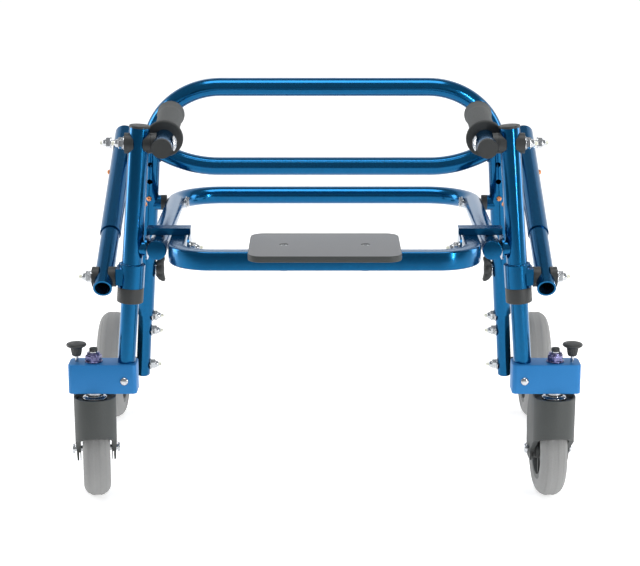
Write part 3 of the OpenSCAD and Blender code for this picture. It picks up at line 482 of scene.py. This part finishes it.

# Hand grips: thermoplastic rubber pushed over the handle tube, with a round hand stop in front.
# The barrel has fine rings round it, is painted paler than the stop as painted light from above, and flares
# to a dark rolled lip.
grip_rubber = surface("soft_black_rubber", "#2c2e2e", "#353737", 0.8, (0.6, 0.75), 0.03)
paler_lit_grip_rubber = surface("rubbed_grip_rubber", "#4c4e4e", "#585a5a", 0.8, (0.7, 0.85), 0.04)
stop_r, stop_t, barrel_r, lip_r, grip_l = 24 * mm, 7 * mm, 16 * mm, 18.3 * mm, 112 * mm
ring_pitch, ring_depth, bar_cover, lip_l = 3 * mm, 0.35 * mm, 5 * mm, 4 * mm
for side, _ in sides:
    handle, bar_mid = spot(f"{side}_handle_tilt"), middle(f"{side}_handle_bar")
    aim = (bar_mid - handle).normalized()
    bar_low, bar_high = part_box(f"{side}_handle_bar")
    bar_l = (bar_high.y - bar_low.y - 2 * tube_r * aim.z) / aim.y
    grip_from = bar_mid + aim * (bar_l / 2 + bar_cover - grip_l)
    ring_from, ring_to = stop_t + 8 * mm, grip_l - 20 * mm
    outline = rounded([(tube_r, 0, 0), (stop_r, 0, 2.5 * mm), (stop_r, stop_t, 2.5 * mm),
                       (barrel_r + 1.5 * mm, stop_t + 1 * mm, 3 * mm), (barrel_r, ring_from, 0)])
    for k in range(int((ring_to - ring_from) / ring_pitch)):
        h = ring_from + k * ring_pitch
        outline += [Vector((barrel_r - d, h + ring_pitch * s)) for d, s in (
            (0, 0.25), (ring_depth, 0.5), (0, 0.8))]
    outline += rounded([(barrel_r, ring_to, 0), (barrel_r, grip_l - 14 * mm, 6 * mm),
                        (lip_r, grip_l - lip_l, 1 * mm), (lip_r, grip_l, 1.6 * mm), (0, grip_l, 0)])
    grip = mesh_of(f"{side}_grip", [turned(outline, grip_from, aim, 72)], grip_rubber)
    grip.materials.append(paler_lit_grip_rubber)
    # The barrel's faces take the paler rubber, painted light where the top light falls on the grip; the stop
    # and lip keep the dark rubber.
    for face in grip.polygons:
        along = (face.center - grip_from).dot(aim)
        face.material_index = 1 if stop_t + 2 * mm < along < grip_l - lip_l else 0
    settle(f"{side}_grip", grip, f"{side}_handle", [f"{side}_hand_grip"])

# Seat frame: a square tube bent flat into a U, with eased edges that catch the light along its front.
# Its top lies under the seat board, and its arms run back into the hinge brackets.
seat_low, seat_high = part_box("seat_frame")
square_h, square_half, square_soft, square_steps = 24 * mm, 10 * mm, 2.6 * mm, 4
seat_bend_r, bend_steps = 47 * mm, 14
seat_arm_x, seat_front_y = seat_high.x - tube_r, seat_low.y + tube_r
section = []
for cx, cz, first in ((1, 1, 0), (-1, 1, 90), (-1, -1, 180), (1, -1, 270)):
    for k in range(square_steps + 1):
        t = math.radians(first + 90 * k / square_steps)
        section.append((cx * (square_half - square_soft) + square_soft * math.cos(t),
                        cz * (square_h / 2 - square_soft) + square_soft * math.sin(t)))
path = [(Vector((-seat_arm_x, seat_high.y)), Vector((-1, 0)))]
for cx, first in ((-1, 180), (1, 270)):
    bend_at = Vector((cx * (seat_arm_x - seat_bend_r), seat_front_y + seat_bend_r))
    for k in range(bend_steps + 1):
        t = math.radians(first + 90 * k / bend_steps)
        off = Vector((math.cos(t), math.sin(t)))
        path.append((bend_at + off * seat_bend_r, off))
path.append((Vector((seat_arm_x, seat_high.y)), Vector((1, 0))))
seat_z, ring_n = seat_high.z - square_h / 2, len(section)
verts = [Vector((at.x + off.x * d, at.y + off.y * d, seat_z + h)) for at, off in path for d, h in section]
faces = bands(len(path), ring_n)
faces += [tuple(range(ring_n)), tuple(range(len(verts) - ring_n, len(verts)))]
piece("seat_tube", [(verts, faces)], candy_blue, "seat", ["seat_frame"])

# Arm plugs: a thin disc welded into the front end of each arm of the lower rail, and painted with it.
# It stands just proud of the tube, with an eased edge.
rail_low, rail_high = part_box("lower_rail")
plug_r, plug_in, plug_out = tube_r - 0.3 * mm, 2 * mm, 1.2 * mm
plug = rounded([(0, -plug_in, 0), (plug_r, -plug_in, 0), (plug_r, plug_out, 1 * mm), (0, plug_out, 0)], 3)
for side, sign in sides:
    plug_at = (sign * (rail_high.x - tube_r), rail_low.y, (rail_low.z + rail_high.z) / 2)
    piece(f"{side}_arm_plug", [turned(plug, plug_at, (0, -1, 0))], candy_blue, "frame")

# Seat board: a grey laminate plate on a charcoal core, its edge left dark, with eased corners.
# Two countersunk machine screws hold it on the seat frame's front bar.
board_low, board_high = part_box("seat_board")
board_w, board_l, board_t = board_high - board_low
corner_r, edge_soft, sink_r, sink_depth = 17 * mm, 1.2 * mm, 6.2 * mm, 3 * mm
grey_laminate = surface("grey_laminate", "#707173", "#77787a", 1.2, (0.42, 0.5), 0.006)
charcoal_core = surface("charcoal_core", "#333635", "#3f4241", 1.0, (0.5, 0.65), 0.02)


def plate(w, l, r, h, soft, centre, arc_steps=8, soft_steps=3):
    """A flat plate with round corners and softened edges, standing on its centre point."""
    verts, count = [], 4 * (arc_steps + 1)
    levels = [(soft * (1 - math.sin(t)), soft * (1 - math.cos(t))) for t in
              (k * math.pi / 2 / soft_steps for k in range(soft_steps + 1))]
    levels += [(inset, h - z) for inset, z in reversed(levels)]
    for inset, z in levels:
        for cx, cy, first in ((1, 1, 0), (-1, 1, 90), (-1, -1, 180), (1, -1, 270)):
            for k in range(arc_steps + 1):
                t = math.radians(first + 90 * k / arc_steps)
                verts.append(Vector(centre) + Vector((cx * (w / 2 - r) + (r - inset) * math.cos(t),
                                                      cy * (l / 2 - r) + (r - inset) * math.sin(t), z)))
    ends = [tuple(range(count - 1, -1, -1)), tuple(range(len(verts) - count, len(verts)))]
    return verts, ends + bands(len(levels), count)


def carve(mesh, tools, operation="DIFFERENCE"):
    """Cuts a mesh with other closed meshes, or keeps what they share."""
    solid, finish = bpy.data.objects.new(mesh.name, mesh), mesh.materials[0]
    scene.collection.objects.link(solid)
    cutters = [pattern_of(f"{mesh.name}_cutter{i}", [shape], finish) for i, shape in enumerate(tools)]
    for cutter in cutters:
        cut = solid.modifiers.new("cut", "BOOLEAN")
        cut.operation, cut.solver, cut.object = operation, "EXACT", cutter
    bpy.context.view_layer.update()
    carved = bpy.data.meshes.new_from_object(solid.evaluated_get(bpy.context.evaluated_depsgraph_get()))
    for used in [solid] + cutters:
        bpy.data.objects.remove(used)
    carved.materials.clear()
    carved.materials.append(finish)
    return carved


board_mid = (board_low + board_high) / 2
screw_share, flat_top = 0.27, 0.9
screw_xs = [board_mid.x + s * screw_share * board_w for s in (-1, 1)]
sinks = [turned([(0, 0), (sink_r * 0.55, 0), (sink_r, sink_depth + mm), (0, sink_depth + mm)],
                (x, board_mid.y, board_high.z - sink_depth)) for x in screw_xs]
board = carve(mesh_of("seat_board_plate", [plate(board_w, board_l, corner_r, board_t, edge_soft,
              (board_mid.x, board_mid.y, board_low.z))], grey_laminate), sinks)
board.materials.append(charcoal_core)
for face in board.polygons:
    face.material_index = 0 if face.normal.z > flat_top else 1
settle("seat_board_plate", board, "seat", ["seat_board"])
socket_r, socket_depth, screw_sunk = 2.2 * mm, 1.2 * mm, 0.6 * mm
screw = rounded([(0, -socket_depth, 0), (socket_r, -socket_depth, 0), (socket_r, 0, 0.3 * mm),
                 (sink_r * 0.8, -0.2 * mm, 0.6 * mm), (sink_r * 0.5, -sink_depth, 0), (0, -sink_depth, 0)])
low_nut_r, low_nut_drop, low_nut_in = 4.5 * mm, 2 * mm, 4 * mm
low_nut = rounded([(0, -low_nut_drop, 0), (low_nut_r, -low_nut_drop, 1 * mm), (low_nut_r, low_nut_in, 0),
                   (0, low_nut_in, 0)], 3)
screws = [turned(screw, (x, board_mid.y, board_high.z - screw_sunk)) for x in screw_xs]
screws += [turned(low_nut, (x, board_mid.y, seat_high.z - square_h)) for x in screw_xs]
piece("seat_screw_heads", screws, bright_zinc, "seat", ["seat_screws"])

# Post caps and collars: moulded nylon, a low domed cap on each post and a collar under its sleeve.
# The collar guides the sliding leg and hides the cut end of the post.
black_nylon = surface("grained_black_nylon", "#252727", "#303232", 0.9, (0.42, 0.58), 0.03)
cap_r, cap_t, cap_plug_r, cap_plug_l, cap_z = 13.6 * mm, 3 * mm, 11 * mm, 6 * mm, 502 * mm
collar_r, collar_h, collar_bore_r, collar_z = 17 * mm, 20 * mm, 11.6 * mm, 275 * mm
for side, _ in sides:
    down = way(f"{side}_leg_height")
    leg_mid = middle(f"{side}_front_leg")
    cap_at, collar_at = (at_height(leg_mid, down, z) for z in (cap_z, collar_z))
    cap = turned(rounded([(0, -cap_plug_l, 0), (cap_plug_r, -cap_plug_l, 0), (cap_plug_r, 0, 0),
                          (cap_r, 0, 0.4 * mm), (cap_r, cap_t, 1.4 * mm), (0, cap_t + 0.4 * mm, 0)]),
                 cap_at, -down)
    collar = turned(rounded([(collar_bore_r, 0, 0), (collar_r, 0, 1.2 * mm), (collar_r, collar_h, 0.8 * mm),
                             (collar_bore_r, collar_h, 0), (collar_bore_r, collar_h / 2, 0)]),
                    collar_at, -down, 64, ring=True)
    piece(f"{side}_post_cap_and_collar", [cap, collar], black_nylon, f"{side}_front",
          [f"{side}_post_fittings"])

# Saddles, handle caps and spacers keep their CAD shape: each is moulded to the tube that it cradles.
dress(["pivot_spacers"] + [f"{side}_{n}" for side, _ in sides for n in (
    "post_saddles", "handle_fittings", "brace_saddles")], black_nylon)

# Caster blocks: machined aluminium bars, bored for the leg and the caster's stem, satin blue.
# A cross bolt with a domed head on the front and back clamps each on its leg.
# The satin comes from a fine bead blast under the anodising, under half a millimetre, drawn at one.
block_blue = surface("satin_anodised_blue", "#1a72b2", "#1f7aba", 1.0, (0.45, 0.55), 0.008, Metallic=0.3)
block_r, block_soft, bolt_head_r, bolt_head_h = 6 * mm, 1.1 * mm, 5.6 * mm, 3.2 * mm
cross_share = 0.44
for side, _ in sides:
    low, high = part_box(f"{side}_caster_block")
    size, mid = high - low, (low + high) / 2
    piece(f"{side}_block", [plate(size.x, size.y, block_r, size.z, block_soft, (mid.x, mid.y, low.z))],
          block_blue, f"{side}_leg", [f"{side}_caster_block"])
    cross_z = low.z + size.z * cross_share
    cross_x = at_height(middle(f"{side}_front_leg"), way(f"{side}_leg_height"), cross_z).x
    head = rounded([(0, -1 * mm, 0), (bolt_head_r, -1 * mm, 0), (bolt_head_r, 0.4 * mm, 0.5 * mm),
                    (bolt_head_r * 0.75, bolt_head_h * 0.8, 2 * mm), (0, bolt_head_h, 0)])
    heads = [turned(head, (cross_x, mid.y + d * size.y / 2, cross_z), (0, d, 0), 40) for d in (-1, 1)]
    piece(f"{side}_cross_bolt", heads, bright_zinc, f"{side}_leg", [f"{side}_block_bolt"])

# Swivel locks: a mushroom knob of dark nylon on a thin steel pin, pulled up to free the caster.
# The knob's neck is fluted for the fingers and the pin drops through the block beside the stem.
knob_top, knob_r, neck_r, pin_r = 27 * mm, 13.5 * mm, 7.8 * mm, 2.2 * mm
flutes, flute_depth, flute_from, flute_to, pin_top = 18, 0.5 * mm, 9 * mm, 19 * mm, 9 * mm
for side, _ in sides:
    foot = middle(f"{side}_lock_plunger")
    foot.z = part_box(f"{side}_caster_block")[1].z
    knob = rounded([(pin_r, 8 * mm, 0), (neck_r * 0.72, 8 * mm, 1.2 * mm), (neck_r * 0.86, 12 * mm, 2 * mm),
                    (neck_r, 19.5 * mm, 2 * mm), (knob_r * 0.86, 20.5 * mm, 1.5 * mm),
                    (knob_r, 22.5 * mm, 1.6 * mm), (knob_r * 0.93, 24.8 * mm, 2 * mm), (0, knob_top, 0)], 6)
    verts, faces = turned(knob, foot, (0, 0, 1), 72)
    for v in verts:
        out = Vector((v.x - foot.x, v.y - foot.y, 0))
        if flute_from < v.z - foot.z < flute_to and out.length > pin_r * 1.5:
            ripple = 0.5 + 0.5 * math.cos(flutes * math.atan2(out.y, out.x))
            v.xy -= out.normalized().xy * flute_depth * ripple
    piece(f"{side}_lock_knob", [(verts, faces)], black_nylon, f"{side}_plunger",
          [f"{side}_lock_plunger"])
    pin_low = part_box(f"{side}_lock_plunger")[0].z - foot.z
    pin = rounded([(0, pin_low, 0), (pin_r, pin_low, 0.6 * mm), (pin_r, pin_top, 0), (0, pin_top, 0)])
    piece(f"{side}_lock_pin", [turned(pin, foot)], bright_zinc, f"{side}_plunger")

# Caster forks: one nylon moulding each, a round crown with a tall wall that runs down into two arms.
# The crown is dished on top round the bearing, the arms sweep to the wheel's axle and thin out,
# and each arm's foot is split where the axle drops in.
fork_nylon = surface("grained_grey_nylon", "#3b3e3d", "#464948", 0.9, (0.5, 0.64), 0.03)
fork_w, arm_t, eye_r, dish_r, dish_depth = 57 * mm, 8 * mm, 15 * mm, 25 * mm, 6 * mm
wall_h, arch_r, notch_w, notch_h, fork_soft = 50 * mm, 65.5 * mm, 2.6 * mm, 13 * mm, 0.8 * mm
arm_thin, thin_from = 0.3, 6 * mm


def prism(points, w, place):
    """An outline in (behind, up) carried across the width of a fork."""
    n = len(points)
    verts = [place @ Vector((s * w / 2, y, z)) for s in (-1, 1) for y, z in points]
    return verts, [tuple(range(n)), tuple(range(2 * n - 1, n - 1, -1))] + [
        (i, n + i, n + (i + 1) % n, (i + 1) % n) for i in range(n)]


for side, _ in sides:
    hub_at, stem = spot(f"{side}_caster_spin"), spot(f"{side}_caster_swivel")
    behind = Vector((hub_at.x - stem.x, hub_at.y - stem.y, 0))
    trail, axle_z, crown_z = behind.length, hub_at.z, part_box(f"{side}_caster_fork")[1].z
    behind.normalize()
    across = behind.cross(Vector((0, 0, 1)))
    place = Matrix((across, behind, (0, 0, 1))).transposed().to_4x4()
    place.translation = (stem.x, stem.y, 0)
    half, wall_z, foot_z = fork_w / 2, crown_z - wall_h, axle_z - eye_r + mm
    arm_outline = rounded([
        (0, crown_z, 0), (half, crown_z, 2 * mm), (half + 15 * mm, crown_z - 30 * mm, 12 * mm),
        (trail + eye_r, axle_z + 2 * mm, 6 * mm), (trail + eye_r - 2 * mm, foot_z, 5 * mm),
        (trail - eye_r + 2 * mm, foot_z, 5 * mm), (trail - eye_r, axle_z + 3 * mm, 6 * mm),
        (-11 * mm, wall_z - 9 * mm, 3 * mm), (-half - mm, wall_z, 0), (-half - mm, crown_z, 0)])
    fork = mesh_of(f"{side}_fork", [prism(arm_outline, fork_w - 2 * mm, place)], fork_nylon)
    plan_l = 3 * fork_w
    plan = plate(fork_w - mm, plan_l, fork_w * 0.49, crown_z, fork_soft, (0, (plan_l - fork_w) / 2, 0), 16)
    fork = carve(fork, [([place @ v for v in plan[0]], plan[1])], "INTERSECT")
    room_half = half - arm_t
    # The room for the wheel follows the tyre's round shoulder
    room_side = [(0, room_half), (arch_r - 16 * mm, room_half), (arch_r - 4 * mm, room_half - 6 * mm),
                 (arch_r, room_half - 14 * mm)]
    wheel_room = turned([(r, -h) for r, h in room_side] + room_side[::-1], hub_at, across, 96)
    dish = turned([(0, crown_z - dish_depth), (dish_r, crown_z - dish_depth), (dish_r + mm, crown_z + mm),
                   (0, crown_z + mm)], (stem.x, stem.y, 0), (0, 0, 1), 64)
    notch = [(trail + y * (eye_r + mm), z) for y, z in (
        (-1, foot_z - mm), (1, foot_z - mm), (1, foot_z + notch_h), (-1, foot_z + notch_h))]
    notches = [prism(notch, notch_w, place @ Matrix.Translation((d * (half - arm_t * 0.68), 0, 0)))
               for d in (-1, 1)]
    fork = carve(fork, [wheel_room, dish] + notches)
    # The arms thin out on their outer faces, from the wall's foot down to the axle
    to_local = place.inverted()
    for v in fork.vertices:
        local = to_local @ v.co
        if abs(local.x) > room_half and local.z < wall_z - thin_from:
            share = (wall_z - thin_from - local.z) / (wall_z - thin_from - foot_z)
            local.x = math.copysign(room_half + (abs(local.x) - room_half) * (1 - arm_thin * share), local.x)
            v.co = place @ local
    settle(f"{side}_fork", fork, f"{side}_caster", [f"{side}_caster_fork"])

# Caster stems: a ground steel stem in a bearing race, held over the block by a lock nut.
# The nut has a flange foot and blue-violet passivation, and the stem's end shows black above it.
violet_zinc = surface("violet_passivated_zinc", "#46456a", "#8684ab", 5.0, (0.18, 0.32), 0.004, Metallic=0.9)
stem_r, race_r, stem_nut_r, axle_head_r = 6 * mm, 16 * mm, 10.9 * mm, 7.4 * mm
flange_r, flange_t, nut_from, nut_to = 11.6 * mm, 3 * mm, 2 * mm, 9.5 * mm
stem_in, stem_past = 12 * mm, 14 * mm
for side, _ in sides:
    hub_at, stem = spot(f"{side}_caster_spin"), spot(f"{side}_caster_swivel")
    axle_way = way(f"{side}_caster_spin")
    block_low, block_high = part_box(f"{side}_caster_block")
    foot, nut_at = Vector((stem.x, stem.y, 0)), Vector((stem.x, stem.y, block_high.z + washer_gap))
    fork_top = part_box(f"{side}_caster_fork")[1].z
    stem_low, stem_top, race_top = fork_top - stem_in, nut_at.z + stem_past, block_low.z - washer_gap
    shaft = turned([(0, stem_low), (stem_r, stem_low), (stem_r, stem_top), (0, stem_top)], foot)
    race = turned(rounded([(0, fork_top - 5 * mm, 0), (race_r, fork_top - 5 * mm, 0),
                           (race_r, fork_top - 1 * mm, 1 * mm), (race_r * 0.7, fork_top, 1 * mm),
                           (race_r * 0.7, race_top, 0.6 * mm), (0, race_top, 0)]), foot, (0, 0, 1), 64)
    half = fork_w / 2
    ends = [turned(rounded([(0, -half, 0), (bolt_r, -half, 0), (bolt_r, 0, 0), (axle_head_r, 0, 0.6 * mm),
                            (axle_head_r * 0.8, 3.4 * mm, 1.6 * mm), (0, 3.8 * mm, 0)]),
                   hub_at + axle_way * d * half, axle_way * d, 40) for d in (-1, 1)]
    piece(f"{side}_stem_and_axle", [shaft, race] + ends, bright_zinc, f"{side}_caster",
          [f"{side}_caster_hardware"])
    hexagon = turned(rounded([(0, nut_from, 0), (stem_nut_r, nut_from, 0), (stem_nut_r, nut_to, 1.5 * mm),
                              (0, nut_to, 0)], 3), nut_at, around=6, spin=0.3)
    flange = turned(rounded([(0, 0, 0), (flange_r, 0, 0.5 * mm), (flange_r, 1.4 * mm, 0.5 * mm),
                             (9 * mm, flange_t, 0), (0, flange_t, 0)]), nut_at)
    crown = turned(rounded([(0, 8 * mm, 0), (9 * mm, 8 * mm, 0), (8.6 * mm, 12.4 * mm, 1.8 * mm),
                            (6.4 * mm, 12.8 * mm, 0), (0, 12 * mm, 0)]), nut_at)
    piece(f"{side}_stem_nut", [hexagon, flange, crown], violet_zinc, f"{side}_caster")
    stub = turned(rounded([(0, 11 * mm, 0), (5.6 * mm, 11 * mm, 0), (5.4 * mm, 18.5 * mm, 1.2 * mm),
                           (0, 19.5 * mm, 0)]), nut_at)
    piece(f"{side}_stem_end", [stub], black_nylon, f"{side}_caster")

# Wheels: pale grey non-marking rubber tyres on dark nylon hubs, small in the forks and large behind.
# A tyre's crown is nearly round and even in colour, with three shallow lines run round it.
tyre_rubber = surface("pale_grey_rubber", "#868685", "#8f8f8e", 1.2, (0.6, 0.75), 0.012)
hub_nylon = surface("dark_hub_nylon", "#3a3d3d", "#484b4a", 1.0, (0.45, 0.6), 0.03)
line_depth = 0.5 * mm


def tyre_outline(outer, inner, half_w):
    """A closed section through a tyre: bead, a nearly round crown, and three running lines cut in it."""
    shoulder = half_w * 0.86
    half = [(inner, shoulder), (inner + (outer - inner) * 0.3, half_w)]
    for degrees in range(0, 91, 3):
        a = math.radians(degrees)
        r = shoulder - (line_depth if degrees in (57, 60, 87, 90) else 0)
        half.append((outer - shoulder + r * math.sin(a), half_w - shoulder + r * math.cos(a)))
    return [Vector(p) for p in half + [(r, -h) for r, h in reversed(half)]]


tree, given = new_tree("spokes_round_hub", {"Spoke": "NodeSocketObject", "Count": "NodeSocketInt"})
points = add(tree, "GeometryNodePoints", links={"Count": given["Count"]})
index = add(tree, "GeometryNodeInputIndex")
step = add(tree, "ShaderNodeMath", {"operation": "DIVIDE"}, {0: 2 * math.pi, 1: given["Count"]})
angle = add(tree, "ShaderNodeMath", {"operation": "MULTIPLY"}, {0: index.outputs[0], 1: step.outputs[0]})
euler = add(tree, "ShaderNodeCombineXYZ", links={"Z": angle.outputs[0]})
one_spoke = add(tree, "GeometryNodeObjectInfo", links={"Object": given["Spoke"]})
spread = add(tree, "GeometryNodeInstanceOnPoints", links={
    "Points": points.outputs[0], "Instance": one_spoke.outputs["Geometry"], "Rotation": euler.outputs[0]})
close_tree(tree, given, spread.outputs["Instances"])


def wheel(name, joint, outer, rim_r, half_w, boss_r, boss_half, spoke_count):
    """A tyre on a moulded hub: rim, boss, a thin web and flat spokes."""
    centre, axle_way, body = spot(joint), way(joint), f"{name}_roll"
    tyre = turned(tyre_outline(outer, rim_r, half_w), centre, axle_way, 96, ring=True)
    piece(f"{name}_tyre", [tyre], tyre_rubber, body, [f"{name}_tyre"], smooth_deg=50)
    rim_t, web_half, rim_half, bore_r = 6 * mm, 4 * mm, half_w * 0.88, 4.2 * mm
    rim = [(rim_r, rim_half, 0), (rim_r - rim_t, rim_half, 1.2 * mm), (rim_r - rim_t * 1.4, web_half, 3 * mm),
           (boss_r * 1.15, web_half, 3 * mm), (boss_r, boss_half, 1.2 * mm), (bore_r, boss_half, 0.5 * mm)]
    section = rounded(rim + [(r, -h, soft) for r, h, soft in reversed(rim)])
    hub = turned(section, centre, axle_way, 72, ring=True)
    spoke_half_t, spoke_half = 2 * mm, rim_half * 0.82
    spoke_from, spoke_to = boss_r * 0.9, rim_r - rim_t * 0.8
    blade = [Vector((x, y * spoke_half_t, z * spoke_half)) for x in (spoke_from, spoke_to) for y, z in (
        (-1, -1), (1, -1), (1, 1), (-1, 1))]
    blade_faces = [(0, 1, 2, 3), (7, 6, 5, 4)] + [(i, 4 + i, 4 + (i + 1) % 4, (i + 1) % 4) for i in range(4)]
    one = pattern_of(f"{name}_spoke_pattern", [(blade, blade_faces)], hub_nylon)
    base = bpy.data.meshes.new(f"{name}_spokes")
    spokes = grow("spokes_round_hub", base, hub_nylon, {"Spoke": one, "Count": spoke_count})
    bpy.data.objects.remove(one)
    turn_to_axle = Vector((0, 0, 1)).rotation_difference(axle_way).to_matrix().to_4x4()
    spokes.transform(Matrix.Translation(centre) @ turn_to_axle)
    settle(f"{name}_spokes", spokes, body)
    piece(f"{name}_hub", [hub], hub_nylon, body, [f"{name}_wheel"])


small_wheel = {"outer": 63.5 * mm, "rim_r": 41.5 * mm, "half_w": 18 * mm, "boss_r": 13 * mm,
               "boss_half": 18.2 * mm, "spoke_count": 6}
large_wheel = {"outer": 80 * mm, "rim_r": 58 * mm, "half_w": 19 * mm, "boss_r": 17 * mm,
               "boss_half": 19 * mm, "spoke_count": 8}
for side, _ in sides:
    wheel(f"{side}_caster", f"{side}_caster_spin", **small_wheel)
    wheel(f"{side}_rear", f"{side}_wheel_spin", **large_wheel)

# Rear axles: a steel bolt from the leg through the wheel, closed at its outer end by a low domed head.
# A dark nylon sleeve covers it between the leg and the wheel.
axle_past, axle_end_r, axle_end_h, axle_sleeve_r = 20 * mm, 10 * mm, 4 * mm, 11.5 * mm
for side, sign in sides:
    axle = spot(f"{side}_wheel_spin")
    on_leg = at_height(middle(f"{side}_rear_leg"), way(f"{side}_rear_height"), axle.z)
    leg_face = abs(on_leg.x) + rear_leg_r
    axle_from, out = (sign * leg_face, axle.y, axle.z), (sign, 0, 0)
    axle_l = abs(axle.x) + axle_past - leg_face
    bolt = rounded([(0, 0, 0), (bolt_r, 0, 0), (bolt_r, axle_l, 0), (axle_end_r, axle_l, 0.6 * mm),
                    (axle_end_r - mm, axle_l + axle_end_h - 0.4 * mm, 1.5 * mm), (0, axle_l + axle_end_h, 0)])
    shape = turned(bolt, axle_from, out, 40)
    piece(f"{side}_axle_bolt", [shape], bright_zinc, f"{side}_rear", [f"{side}_rear_axle"])
    sleeve_l = abs(axle.x) - large_wheel["boss_half"] - washer_gap - leg_face
    sleeve = rounded([(bolt_r, 0, 0), (axle_sleeve_r, 0, 0.8 * mm), (axle_sleeve_r, sleeve_l, 0.8 * mm),
                      (bolt_r, sleeve_l, 0)])
    shape = turned(sleeve, axle_from, out, 48, ring=True)
    piece(f"{side}_axle_sleeve", [shape], black_nylon, f"{side}_rear")

# Wing knobs: nylon knobs with two wings and a bright washer, screwed into the rear posts to clamp the legs.
# Each wing is a rounded finger that flares out towards the hand, and the core has a dished face.
lobe_count, lobe_r, knob_core_r, knob_t, flare = 2, 19 * mm, 9.5 * mm, 12 * mm, 5 * mm
knob_washer_r, knob_washer_in, knob_washer_t = 9 * mm, 3 * mm, 1.4 * mm
for side, sign in sides:
    at = spot(f"{side}_clamp_turn")
    face_x = abs(at.x) - tube_r - washer_gap
    rows = [(0.0, 0.55), (1.5 * mm, 0.86), (4 * mm, 0.97), (knob_t / 2, 1.0), (knob_t - 3 * mm, 0.95),
            (knob_t - 0.8 * mm, 0.8), (knob_t, 0.6), (knob_t - 1.5 * mm, 0.3)]
    around, verts = 72, []
    place = Vector((0, 0, 1)).rotation_difference(Vector((-sign, 0, 0))).to_matrix().to_4x4()
    place.translation = (sign * face_x, at.y, at.z)
    for h, share in rows:
        for k in range(around):
            t = 2 * math.pi * k / around
            lobe = max(math.cos(lobe_count * t), 0) ** 1.1
            r = (knob_core_r + (lobe_r - knob_core_r) * lobe) * share
            lift = flare * (max(r - knob_core_r, 0) / (lobe_r - knob_core_r)) ** 1.2
            verts.append(place @ Vector((r * math.cos(t), r * math.sin(t), h + lift)))
    faces = bands(len(rows), around)
    faces += [tuple(range(around)), tuple(range(len(verts) - around, len(verts)))]
    piece(f"{side}_wing_knob", [(verts, faces)], black_nylon, f"{side}_knob",
          [f"{side}_clamp_knob"])
    washer = rounded([(knob_washer_in, 0, 0), (knob_washer_r, 0, 0.3 * mm),
                      (knob_washer_r, knob_washer_t, 0.3 * mm), (knob_washer_in, knob_washer_t, 0)])
    shape = turned(washer, (sign * (face_x + 0.2 * mm), at.y, at.z), (-sign, 0, 0), 40, ring=True)
    piece(f"{side}_knob_washer", [shape], bright_zinc, f"{side}_knob")

# Spring buttons: copper-plated domes that snap through the height holes.
# Each stands a few millimetres proud of its tube, on the rear posts and on the braces.
copper = surface("copper_plate", "#c4713f", "#e6a374", 1.8, (0.25, 0.4), 0.004, Metallic=0.9)
button_r, button_h = 3.6 * mm, 3 * mm
button = rounded([(0, -4 * mm, 0), (button_r, -4 * mm, 0), (button_r, 0.4 * mm, 0.6 * mm),
                  (button_r * 0.7, button_h * 0.9, 1.6 * mm), (0, button_h, 0)])
for side, _ in sides:
    for node, body, aim in ((f"{side}_leg_button", f"{side}_button", -way(f"{side}_height_button")),
                            (f"{side}_brace_button", f"{side}_brace_lock", -way(f"{side}_brace_release"))):
        low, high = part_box(node)
        mid = (low + high) / 2
        reach = max(abs((corner - mid).dot(aim)) for corner in (low, high)) - button_h
        dome = turned(button, mid + aim * reach * 0.9, aim, 40)
        piece(f"{node}_dome", [dome], copper, body, [node])

# Post studs: a copper-plated stud high on the inner rear side of each front post, where its leg is pinned.
stud_z, stud_turn = 402 * mm, math.radians(28)
for side, sign in sides:
    aim = Vector((-sign * math.cos(stud_turn), math.sin(stud_turn), 0))
    stud_at = at_height(middle(f"{side}_front_leg"), way(f"{side}_leg_height"), stud_z) + aim * post_r
    piece(f"{side}_post_stud", [turned(button, stud_at, aim, 40)], copper, f"{side}_front")
